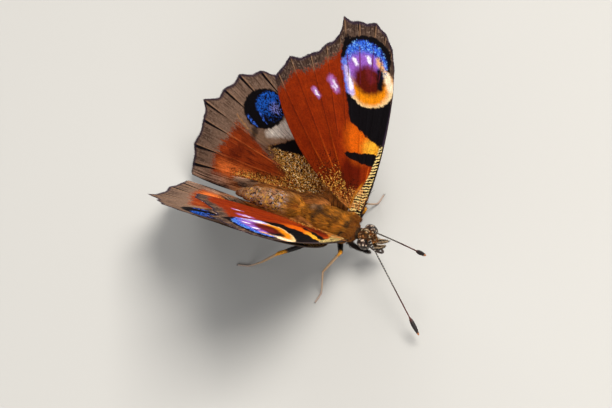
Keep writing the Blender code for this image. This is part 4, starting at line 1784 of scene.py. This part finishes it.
@dataclass
class Body(Assembly):
    """Thorax, abdomen and head under one skin, with their coat.

    A thorax ring is (forward, centre height, half width, half height).
    """

    thorax_rings: tuple[tuple[float, float, float, float], ...] = (
        (3.75, 0.05, 0.95, 0.95), (3.3, 0.1, 1.4, 1.45), (2.4, 0.15, 1.8, 1.9),
        (1.2, 0.15, 2.05, 2.2), (-0.2, 0.15, 2.15, 2.3), (-1.6, 0.1, 2.05, 2.2),
        (-3.0, 0.1, 1.7, 1.85), (-3.9, 0.05, 1.45, 1.5), (-4.3, 0.05, 1.15, 1.2))
    abdomen_front: Place = (-4.6, 0.0, 0.05)
    abdomen_middle: Place = (-10.0, 0.0, 0.55)
    abdomen_tip: Place = (-15.3, -0.6, -0.75)
    abdomen_radius: float = 1.62
    abdomen_swell: Spot = (0.16, 0.94)
    abdomen_depth: float = 0.14
    segments: int = 8
    rings_per_segment: int = 6
    segment_step: float = 0.12
    head_centre: Place = (5.05, 0.0, -0.05)
    head_radii: Place = (1.2, 1.12, 1.2)
    coat_depth: float = 0.32
    voxel: float = 0.085
    sides: int = 40
    thorax_steps: int = 40

    def thorax_ring(self, forward: float) -> Vector:
        """The thorax's ring at a place along it.

        Args:
            forward: how far ahead the place is.

        Returns:
            The ring's centre height, half width and half height.
        """
        rings = [Vector(ring) for ring in self.thorax_rings]
        for front, rear in zip(rings, rings[1:]):
            if forward >= rear.x:
                break
        share = min(max((front.x - forward) / (front.x - rear.x), 0.0), 1.0)
        ring = front.lerp(rear, share)
        return Vector((ring.y, ring.z - self.coat_depth, ring.w - self.coat_depth))

    def abdomen_ring(self, share: float) -> tuple[Vector, float]:
        """The abdomen's ring at a place along it.

        Args:
            share: the share of the abdomen's length.

        Returns:
            The ring's centre and radius.
        """
        centre = bezier((self.abdomen_front, self.abdomen_middle, self.abdomen_tip), share)
        start, end = self.abdomen_swell
        swell = math.sin(math.pi * (start + (end - start) * share ** 0.85)) ** 0.62
        return centre, self.abdomen_radius * swell - self.abdomen_depth

    def flank(self, forward: float, side: Side, turn: float) -> Vector:
        """A place on the body's side.

        Args:
            forward: how far ahead the place is.
            side: which side of the body.
            turn: how far round from level the place is, in degrees upwards.

        Returns:
            The place (forward, left, up).
        """
        across, rise = math.cos(math.radians(turn)), math.sin(math.radians(turn))
        if forward > self.thorax_rings[-1][0]:
            height, half_width, half_height = self.thorax_ring(forward)
            return Vector((forward, side.value * half_width * across, height + half_height * rise))
        length = self.abdomen_front[0] - self.abdomen_tip[0]
        share = min(max((self.abdomen_front[0] - forward) / length, 0.0), 1.0)
        centre, radius = self.abdomen_ring(share)
        return Vector((forward, centre.y + side.value * radius * across, centre.z + radius * rise))

    def thorax(self) -> Solid:
        """The thorax, inside its solid by the coat's depth.

        Returns:
            Its skin.
        """
        front, rear = self.thorax_rings[0][0], self.thorax_rings[-1][0]
        rings = []
        for k in range(self.thorax_steps + 1):
            forward = front + (rear - front) * k / self.thorax_steps
            height, half_width, half_height = self.thorax_ring(forward)
            rings.append([Vector((forward, half_width * math.cos(turn),
                                  height + half_height * math.sin(turn)))
                          for turn in self.turns()])
        return wrap(rings)

    def turns(self) -> list[float]:
        """The turns of a ring's points."""
        return [2.0 * math.pi * k / self.sides for k in range(self.sides)]

    def abdomen(self) -> Solid:
        """The abdomen, with a step where each segment overlaps the next.

        Returns:
            Its skin.
        """
        rings = []
        count = self.segments * self.rings_per_segment
        for i in range(count + 1):
            centre, radius = self.abdomen_ring(i / count)
            part = (i % self.rings_per_segment) / self.rings_per_segment
            radius -= self.segment_step * (1.0 - part) ** 3
            rings.append([centre + Vector((0.0, radius * math.cos(turn),
                                           radius * 0.96 * math.sin(turn)))
                          for turn in self.turns()])
        return wrap(rings)

    def knobs(self) -> list[Solid]:
        """The head, the bosses that carry wings and legs, and the necks between the parts.

        Returns:
            The shapes.
        """
        shapes = [dome(self.head_centre, self.head_radii, 4)]
        for centre, radii in (((5.95, 0.0, -0.35), (0.45, 0.62, 0.75)),
                              ((5.6, 0.0, 0.75), (0.5, 0.6, 0.4)),
                              ((5.3, 0.0, -1.05), (0.6, 0.5, 0.5))):
            shapes.append(dome(centre, radii, 3))
        for centre, radii in (((2.5, 1.55, 0.95), (0.85, 0.75, 0.6)),
                              ((-0.3, 1.75, -0.2), (1.15, 0.6, 0.6)),
                              ((3.15, 1.35, 1.0), (0.55, 0.45, 0.4)),
                              ((0.7, 0.75, -1.75), (0.7, 0.55, 0.6)),
                              ((-1.7, 0.75, -1.75), (0.7, 0.55, 0.6)),
                              ((5.9, 0.62, 0.62), (0.3, 0.28, 0.3))):
            shapes += [dome(side.turned(centre), radii, 3) for side in Side]
        for start, end, radius in (((3.2, 0, 0.1), (4.6, 0, 0.0), 0.7),
                                   ((-3.6, 0, 0.05), (-5.4, 0, 0.1), 0.95)):
            path = [Vector(start).lerp(Vector(end), i / 6.0) for i in range(7)]
            shapes.append(tube(path, [radius] * 7, 24))
        return shapes

    def build(self) -> None:
        """Build the skin and its coat."""
        shape = melt([self.thorax(), self.abdomen(), *self.knobs()], self.voxel)
        ground = Ground(shape)
        nodes = ("thorax", "abdomen", "head")
        self.shop.piece("body_skin", shape, (skin_finish(),), "thorax_fur", nodes)
        coat = coat_finish()
        for zone in CoatZone:
            self.cover(coat, ground, zone)

    def cover(self, finish: Material, ground: Ground, zone: CoatZone) -> None:
        """Cover one zone of the body with tufts.

        Args:
            finish: the coat's material.
            ground: the skin.
            zone: the zone.
        """
        rear, front, low, high, count, short, long, width, lie, slot = zone.value

        def weight(places: np.ndarray) -> np.ndarray:
            """Tufts stand in the zone, and not on the eyes.

            Args:
                places: places on the skin.

            Returns:
                Whether tufts stand at each.
            """
            inside = (places[:, 0] > rear) & (places[:, 0] < front)
            inside &= (places[:, 2] > low) & (places[:, 2] <= high)
            for side in Side:
                off = (places - (EYE_FORWARD, 1.08 * side.value, 0.0)) / (0.9, 0.7, 1.0)
                inside &= np.linalg.norm(off, axis=1) >= 1.0
            return inside

        roots, normals = ground.scatter(count, self.generator, weight)
        lengths = self.generator.uniform(short, long, count)
        ways = np.tile((-1.0, 0.0, -0.12), (count, 1))
        ways[:, 1] += 0.25 * np.sign(roots[:, 1]) * np.clip(np.abs(roots[:, 1]) - 0.6, 0.0, 1.0)
        if zone is CoatZone.HEAD:
            ways = (0.6, 0.0, 0.25) + (roots - self.head_centre) * 0.5
        if zone is CoatZone.BACK:
            lengths *= np.where(roots[:, 0] > 2.3, 0.6, 1.0)
        turn = np.arctan2(roots[:, 1], roots[:, 2]) / (2.0 * math.pi) + 0.5
        unwrap = np.column_stack(((roots[:, 0] + 16.5) / 24.0, turn * 0.96 + 0.02))
        coat = Coat("coat_" + zone.name.lower(), slot, width, lie)
        coat.build(self, finish, Stand(roots, normals, ways, unwrap), lengths)


class CoatZone(Enum):
    """The zones of the body's coat.

    Each is its rear and front, its lowest and highest, its count of tufts, their least and
    greatest length, their width, how steeply they stand in degrees, and the record's slot.
    """

    BACK = (-4.9, 2.7, 0.2, 3.0, 11800, 0.6, 1.3, 0.034, 14.0, "thorax_fur")
    BREAST = (-4.9, 3.75, -3.0, 0.2, 9500, 0.5, 1.0, 0.03, 18.0, "thorax_fur")
    COLLAR = (2.7, 3.75, 0.2, 3.0, 2200, 0.35, 0.65, 0.034, 24.0, "thorax_fur")
    ABDOMEN = (-16.0, -4.4, -3.0, 3.0, 11500, 0.26, 0.44, 0.055, 12.0, "abdomen_scales")
    RUMP = (-6.2, -3.6, -0.6, 3.0, 3600, 0.9, 1.7, 0.034, 12.0, "abdomen_scales")
    HEAD = (3.75, 6.7, -3.0, 3.0, 7500, 0.22, 0.44, 0.034, 28.0, "head_scales")


@dataclass
class Head(Assembly):
    """The eyes, palps, antennae and tongue."""

    eye_centre: Place = (EYE_FORWARD, 1.08, 0.0)
    eye_radii: Place = (0.88, 0.66, 0.98)
    antenna_root: Place = (6.13, 0.68, 0.91)
    left_tip: Place = (17.5, -2.1, 8.0)
    right_tip: Place = (16.43, -8.32, -4.0)
    joints: int = 38
    stem_radius: float = 0.1
    club_radius: float = 0.3
    club_length: float = 2.5
    palp_points: tuple[Place, ...] = ((6.0, 0.38, -1.3), (6.9, 0.5, -0.85), (7.95, 0.38, 0.2))
    palp_radii: Place = (0.2, 0.24, 0.05)
    palp_hairs: int = 1900
    eye_hairs: int = 260
    coil_centre: Place = (5.35, 0.0, -2.95)
    coil_radii: Spot = (1.3, 0.42)
    coil_turns: float = 1.75
    tongue_radii: Spot = (0.17, 0.07)
    rim_scales: int = 240

    def build(self) -> None:
        """Build what the head carries."""
        eye, feeler = EyeFinish().material(), FeelerFinish(self.joints).material()
        skin = PlainFinish("palp_skin", (60, 44, 34), (120, 96, 74), 0.7).material()
        hair = HairFinish("palp_hair", (26, 19, 17), (214, 186, 150)).material()
        for side in Side:
            shape, node = dome(side.turned(self.eye_centre), self.eye_radii, 6), "eye_" + side.word
            self.shop.piece("compound_" + node, shape, (eye,), "eye", (node,))
            self.antenna(side, feeler)
            self.palp(side, skin, hair)
        rim = HairFinish("eye_rim", (150, 128, 104), (232, 222, 206)).material()
        down = HairFinish("eye_hair", (30, 20, 16), (150, 120, 96)).material()
        for side in Side:
            self.rim(side, rim)
            self.down(side, down)
        self.tongue()

    def rim(self, side: Side, finish: Material) -> None:
        """Set the pale rim of scales round an eye.

        Args:
            side: the eye's side.
            finish: the scales' material.
        """
        count = self.rim_scales
        turns = np.linspace(0.0, 2.0 * math.pi, count, endpoint=False)
        ring = np.column_stack((np.cos(turns), np.full(count, -0.25 * side.value), np.sin(turns)))
        roots = np.array(side.turned(self.eye_centre)) + ring * self.eye_radii * (0.97, 1.0, 0.97)
        ways = np.tile((0.0, side.value, 0.0), (count, 1))
        unwrap = np.column_stack((turns / 7.0 + 0.05, np.full(count, 0.5)))
        stand = Stand(roots, unit(ring * (1.0, 0.2, 1.0)), ways, unwrap)
        coat = Coat("eye_rim_" + side.word, "head_scales", 0.05, 16.0)
        coat.build(self, finish, stand, np.full(count, 0.3))

    def down(self, side: Side, finish: Material) -> None:
        """Set an eye's own short hair.

        Args:
            side: the eye's side.
            finish: the hair's material.
        """
        facing = self.generator.normal(0.0, 1.0, (self.eye_hairs, 3))
        facing[:, 1] = np.abs(facing[:, 1]) * side.value
        facing = unit(facing)
        roots = np.array(side.turned(self.eye_centre)) + facing * self.eye_radii
        ways = np.tile((-0.4, 0.0, 0.3), (self.eye_hairs, 1))
        stand = Stand(roots, facing, ways, facing[:, (0, 2)] * 0.4 + 0.5)
        coat = Coat("eye_hair_" + side.word, "eye", 0.012, 60.0, sunk=0.02)
        coat.build(self, finish, stand, self.generator.uniform(0.08, 0.15, self.eye_hairs))

    def antenna(self, side: Side, finish: Material) -> None:
        """Build one antenna: a round base, a stem of many joints and a flattened club.

        Args:
            side: its side.
            finish: its material.
        """
        root = side.turned(self.antenna_root)
        tip = Vector(self.left_tip if side is Side.LEFT else self.right_tip)
        length = (tip - root).length
        path, radii = [], []
        steps = self.joints * 4
        for i in range(steps + 1):
            share = i / steps
            sag = Vector((0.0, 0.0, 0.22)) * math.sin(math.pi * share)
            path.append(root.lerp(tip, share) + sag)
            swell = 0.012 * math.cos(2.0 * math.pi * share * self.joints)
            base = 0.13 * max(0.0, 1.0 - share * length / 0.5)
            club = max(0.0, 1.0 - (1.0 - share) * length / self.club_length)
            rise = math.sin(math.pi * min(club, 1.0) ** 0.8) ** 0.8 if club > 0.0 else 0.0
            end = min(1.0, (1.0 - share) * length / 0.1 + 0.35)
            radius = self.stem_radius * (1.0 - 0.2 * share) + swell + base
            radii.append((radius + (self.club_radius - self.stem_radius) * rise) * end)
        shape = tube(path, radii, 14, 0.82)
        node = "antenna_" + side.word
        self.shop.piece("feeler_" + side.word, shape, (finish,), "antenna", (node,))

    def palp(self, side: Side, skin: Material, hair: Material) -> None:
        """Build one palp, upturned and bristly.

        Args:
            side: its side.
            skin: its own material.
            hair: its hair's material.
        """
        path = [bezier([side.turned(point) for point in self.palp_points], i / 16.0)
                for i in range(17)]
        shape = tube(path, swelling(self.palp_radii, 17), 14)
        ground, draw, node = Ground(shape), self.generator, "palp_" + side.word
        self.shop.piece("palp_core_" + side.word, shape, (skin,), "head_scales", (node,))
        way = (path[-1] - path[0]).normalized()
        stand = ground.stand(self.palp_hairs, draw, way, (5.5, -2.0), 3.0)
        stripe = (np.sin(np.arctan2(stand.normals[:, 2], stand.normals[:, 1]) * 3.0) > 0.1) * 0.85
        shades = np.clip(stripe + draw.uniform(-0.1, 0.2, self.palp_hairs), 0.0, 1.0)
        coat = Coat("palp_hair_" + side.word, "head_scales", 0.032, 24.0, sunk=0.03)
        coat.build(self, hair, stand, draw.uniform(0.32, 0.6, self.palp_hairs), shades)

    def tongue(self) -> None:
        """Build the coiled tongue, with fine rings along it."""
        steps = 200
        path, radii = [], []
        for i in range(steps + 1):
            share = i / steps
            turn = math.pi / 2.0 - 2.0 * math.pi * self.coil_turns * share
            reach = self.coil_radii[0] + (self.coil_radii[1] - self.coil_radii[0]) * share
            path.append(Vector((self.coil_centre[0] + reach * math.cos(turn), 0.0,
                                self.coil_centre[2] + reach * math.sin(turn))))
            radius = self.tongue_radii[0] + (self.tongue_radii[1] - self.tongue_radii[0]) * share
            radii.append(radius * (1.0 + 0.05 * math.sin(i * math.pi / 2.0)))
        finish = PlainFinish("tongue", (30, 20, 16), (72, 50, 36), 0.4).material()
        self.shop.piece("tongue", tube(path, radii, 12), (finish,), "proboscis", ("proboscis",))


def swelling(radii: Sequence[float], count: int) -> list[float]:
    """Radii that swell and taper smoothly.

    Args:
        radii: the radii that they follow.
        count: how many there are.

    Returns:
        The radii.
    """
    return [bezier([(radius, 0.0) for radius in radii], i / (count - 1)).x for i in range(count)]


@dataclass(frozen=True)
class LegPlan:
    """A walking leg's coxa, trochanter, knee, ankle, heel and toe."""

    name: str
    points: tuple[Place, ...]


LEGS = (
    LegPlan("midleg_right", ((0.6, -0.9, -2.4), (0.8, -1.5, -3.2), (2.85, -3.35, 0.0),
                             (0.25, -5.5, -3.5), (0.2, -7.5, -6.25), (0.1, -8.9, -6.25))),
    LegPlan("midleg_left", ((0.6, 0.9, -2.4), (0.8, 1.5, -3.2), (2.6, 3.6, -0.4),
                            (0.5, 5.3, -3.6), (0.8, 7.0, -6.25), (0.9, 8.4, -6.25))),
    LegPlan("hindleg_right", ((-1.6, -0.9, -2.4), (-1.9, -1.5, -3.1), (-5.9, -6.0, -1.9),
                              (-8.9, -7.1, -4.7), (-11.2, -7.8, -6.25), (-12.6, -8.2, -6.25))),
    LegPlan("hindleg_left", ((-1.6, 0.9, -2.4), (-1.9, 1.5, -3.1), (-5.6, 5.6, -2.0),
                             (-8.4, 6.9, -4.7), (-10.6, 7.8, -6.25), (-12.0, 8.3, -6.25))),
)


@dataclass(frozen=True)
class LegFinishes:
    """The materials of a leg: its own, its hair's and its spines'."""

    skin: Material
    hair: Material
    spine: Material


@dataclass
class Leg(Assembly):
    """One walking leg, with its hair, spines and claws."""

    plan: LegPlan
    finishes: LegFinishes
    thigh_radii: Spot = (0.36, 0.24)
    shin_radii: Spot = (0.17, 0.14)
    foot_radius: float = 0.125
    foot_joints: int = 5
    claw_length: float = 0.28
    floor: float = -RIDE_HEIGHT
    thigh_hairs: int = 520
    spine_reach: float = 0.26

    def line(self) -> tuple[list[Vector], list[float], list[float]]:
        """The leg's middle line.

        Returns:
            Its points, the radius at each, and its part number: thigh 0 to 1, shin 1 to 2, foot
            2 to 3.
        """
        coxa, trochanter, knee, ankle, heel, toe = (Vector(p) for p in self.plan.points)
        heel.z = toe.z = self.floor + self.foot_radius + 0.01
        path, radii, parts = [], [], []
        start = coxa + Vector((0.0, -math.copysign(0.1, coxa.y), 0.55))
        thigh = smooth_path((start, coxa.lerp(trochanter, 0.7), bezier((coxa, trochanter, knee), 0.4),
                             knee.lerp(trochanter, 0.4), knee), 6)
        shin = [knee.lerp(ankle, i / 12.0) for i in range(1, 13)]
        foot = smooth_path((ankle, heel, toe), 20)[1:]
        for points, first, radius, last in ((thigh, 0.0, *self.thigh_radii),
                                            (shin, 1.0, *self.shin_radii)):
            for i, point in enumerate(points):
                share = i / (len(points) - 1)
                path.append(point)
                swell = 1.0 + 0.18 * math.sin(math.pi * share)
                radii.append((radius + (last - radius) * share) * swell)
                parts.append(first + share)
        for i, point in enumerate(foot):
            share = (i + 1) / len(foot)
            joint = abs(math.sin(math.pi * share * self.foot_joints))
            point.z = max(point.z, self.floor + self.foot_radius + 0.01)
            path.append(point)
            radii.append(self.foot_radius * (0.78 + 0.22 * joint ** 0.5) * (1.05 - 0.2 * share))
            parts.append(2.0 + share)
        radii[-1] *= 0.7
        return path, radii, parts

    def build(self) -> None:
        """Build the leg."""
        path, radii, parts = self.line()
        shape = tube(path, radii, 14)
        along = shape.verts.layers.float.get("along")
        part = shape.verts.layers.float.new("part")
        for corner in shape.verts:
            spot = corner[along] * (len(parts) - 1)
            corner[part] = parts[min(round(spot), len(parts) - 1)]
        ground, name = Ground(shape), self.plan.name
        nodes = [f"{name}_{part_name}" for part_name in ("femur", "tibia", "tarsus")]
        self.shop.piece("leg_" + name, shape, (self.finishes.skin,), "leg_pale", nodes)
        self.hair(ground)
        self.spines(path, radii, parts)
        self.claws(path[-1], path[-4])

    def hair(self, ground: Ground) -> None:
        """Set the thigh's short hair.

        Args:
            ground: the leg's skin.
        """
        inner, knee = Vector(self.plan.points[1]), Vector(self.plan.points[2])
        length = (knee - inner).length
        down = np.array((knee - inner).normalized())

        def weight(places: np.ndarray) -> np.ndarray:
            """Hair stands on the thigh.

            Args:
                places: places on the leg's skin.

            Returns:
                Whether hair stands at each.
            """
            away = places - np.array(inner)
            forth = away @ down
            off = np.linalg.norm(away - forth[:, None] * down, axis=1)
            return (forth < length - 0.1) & (forth > -0.6) & (off < 0.75)

        count, draw = self.thigh_hairs, self.generator
        stand = ground.stand(count, draw, down, (-12.0, -9.0), 18.0, (0, 1), weight)
        coat = Coat("hair_" + self.plan.name, "leg_dark", 0.026, 22.0, sunk=0.03)
        coat.build(self, self.finishes.hair, stand, draw.uniform(0.2, 0.42, count))

    def spines(self, path: list[Vector], radii: list[float], parts: list[float]) -> None:
        """Set short spines in rows along the shin and the foot, above what the foot stands on.

        Args:
            path: the leg's middle line.
            radii: its radius at each point.
            parts: its part number at each point.
        """
        rows = []
        for i, part in enumerate(parts[:-2]):
            forth = (path[i + 1] - path[i]).normalized()
            side = forth.cross(Vector((0.0, 0.0, 1.0))).normalized()
            for turn in (-1.0, 1.0):
                normal = (side * turn + side.cross(forth) * 0.35).normalized()
                root = path[i] + normal * radii[i] * 0.8
                clear = root.z + forth.z * self.spine_reach >= self.floor + 0.04
                if part >= 1.15 and clear:
                    rows.append((root, normal, forth))
        count = len(rows)
        unwrap = np.column_stack((np.linspace(0.05, 0.95, count), np.full(count, 0.5)))
        stand = Stand(*(np.array(column) for column in zip(*rows)), unwrap)
        coat = Coat("spines_" + self.plan.name, "leg_dark", 0.018, 32.0, sunk=0.02, curl=0.1)
        coat.build(self, self.finishes.spine, stand, self.generator.uniform(0.12, 0.24, count))

    def claws(self, toe: Vector, before: Vector) -> None:
        """Build the two small hooked claws at the toe.

        Args:
            toe: the foot's end.
            before: a place a little before it.
        """
        forth = (toe - before).normalized()
        side = forth.cross(Vector((0.0, 0.0, 1.0))).normalized()
        shapes = []
        for turn in (-1.0, 1.0):
            start = toe + side * 0.045 * turn - forth * 0.05
            rise = start + forth * self.claw_length * 0.55 + side * 0.06 * turn
            rise.z += 0.04
            end = start + forth * self.claw_length + side * 0.05 * turn
            end.z = self.floor + 0.02
            path = [bezier((start, rise, end), i / 8.0) for i in range(9)]
            shapes.append(tube(path, [0.04 * (1.0 - i / 9.0) for i in range(9)], 8))
        self.shop.piece("claws_" + self.plan.name, join(shapes), (self.finishes.spine,), "leg_dark")


@dataclass
class Foreleg(Assembly):
    """One of the small folded forelegs, brushy as the species has them."""

    side: Side
    finish: Material
    points: tuple[Place, ...] = ((2.0, 0.62, -2.0), (2.3, 0.8, -3.0), (4.7, 1.0, -2.5),
                                 (5.2, 1.05, -2.2))
    radii: tuple[float, ...] = (0.24, 0.22, 0.17, 0.06)
    hairs: int = 1400

    def build(self) -> None:
        """Build the foreleg and its brush of hair."""
        points = [self.side.turned(point) for point in self.points]
        path = smooth_path(points, 8)
        shape = tube(path, swelling(self.radii, len(path)), 14)
        ground, node = Ground(shape), "foreleg_" + self.side.word
        self.shop.piece("folded_" + node, shape, (self.finish,), "leg_dark", (node,))
        way = (points[2] - points[1]).normalized()
        stand = ground.stand(self.hairs, self.generator, way, (1.0, -4.0), 5.0)
        coat = Coat("brush_" + node, "leg_dark", 0.026, 24.0, sunk=0.03)
        coat.build(self, self.finish, stand, self.generator.uniform(0.35, 0.75, self.hairs))


@dataclass
class Studio:
    """The camera, the floor and the lights."""

    shop: Workshop
    eye: Place = (177.352, -114.331, 339.845)
    right: Place = (0.82779, 0.48669, -0.27908)
    up: Place = (-0.33083, 0.82521, 0.4578)
    lens: float = 182.07
    sky_strength: float = 0.4
    floor_size: float = 4.0
    floor_tone: Colour = (184, 182, 178)

    def build(self) -> None:
        """Build the camera, the floor, the lights and the sky."""
        turn = self.shop.to_frame.to_3x3() * (1.0 / MM)
        self.camera(turn)
        self.floor()
        for name, place, size, power, colour in (
                ("key", (0.2, 0.14, 0.5), 0.22, 3.8, (1.0, 0.97, 0.92)),
                ("fill", (0.3, -0.5, 0.3), 0.35, 1.6, (0.94, 0.97, 1.0)),
                ("back", (-0.45, 0.35, 0.35), 0.3, 1.0, (1.0, 0.98, 0.96))):
            lamp = bpy.data.lights.new(name, "AREA")
            lamp.energy, lamp.size, lamp.color = power, size, colour
            thing = placed(name, lamp)
            thing.location = turn @ Vector(place)
            thing.rotation_euler = (turn @ Vector(place)).to_track_quat("Z", "Y").to_euler()
        world = bpy.data.worlds.new("studio")
        bpy.context.scene.world = world
        world.use_nodes = True
        sky = world.node_tree.nodes["Background"]
        sky.inputs["Color"].default_value = (1.0, 1.0, 1.0, 1.0)
        sky.inputs["Strength"].default_value = self.sky_strength
        bpy.context.scene.view_settings.view_transform = "Standard"

    def camera(self, turn: Matrix) -> None:
        """Set the camera where the photograph was taken from.

        Args:
            turn: turns the insect's own axes into the frame's.
        """
        right, up = Vector(self.right), Vector(self.up)
        axes = turn @ Matrix((right, up, right.cross(up))).transposed()
        camera = placed("camera", bpy.data.cameras.new("camera"))
        place = Matrix.Translation(self.shop.to_frame @ Vector(self.eye))
        camera.matrix_world = place @ axes.to_4x4()
        camera.data.lens = self.lens
        camera.data.sensor_width = 36.0
        camera.data.clip_start = 0.01
        bpy.context.scene.camera = camera

    def floor(self) -> None:
        """Lay the plain pale floor."""
        shape = bmesh.new()
        bmesh.ops.create_grid(shape, x_segments=1, y_segments=1, size=self.floor_size / 2.0)
        mesh = as_mesh("floor", shape)
        mesh.materials.append(Paint("floor", 0.9, 0.1).finish(self.floor_tone))
        floor = placed("floor", mesh)


def main() -> None:
    """Build the butterfly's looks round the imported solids."""
    logging.basicConfig(level=logging.INFO, format="%(message)s")
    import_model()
    for thing in list(bpy.data.objects):
        if thing.type in {"CAMERA", "LIGHT"}:
            bpy.data.objects.remove(thing)
    shop = Workshop()
    Studio(shop).build()
    body = Body(shop, np.random.default_rng(11))
    Wings(shop, np.random.default_rng(5), body).build()
    body.build()
    Head(shop, np.random.default_rng(23)).build()
    dark = HairFinish("leg_hair", (16, 12, 12), (70, 52, 44)).material()
    spine = PlainFinish("leg_spines", (34, 24, 18), (70, 50, 36), 0.4).material()
    finishes = LegFinishes(LegFinish().material(), dark, spine)
    generator = np.random.default_rng(41)
    for plan in LEGS:
        Leg(shop, generator, plan, finishes).build()
    for side in Side:
        Foreleg(shop, generator, side, dark).build()


if __name__ == "__main__":
    main()
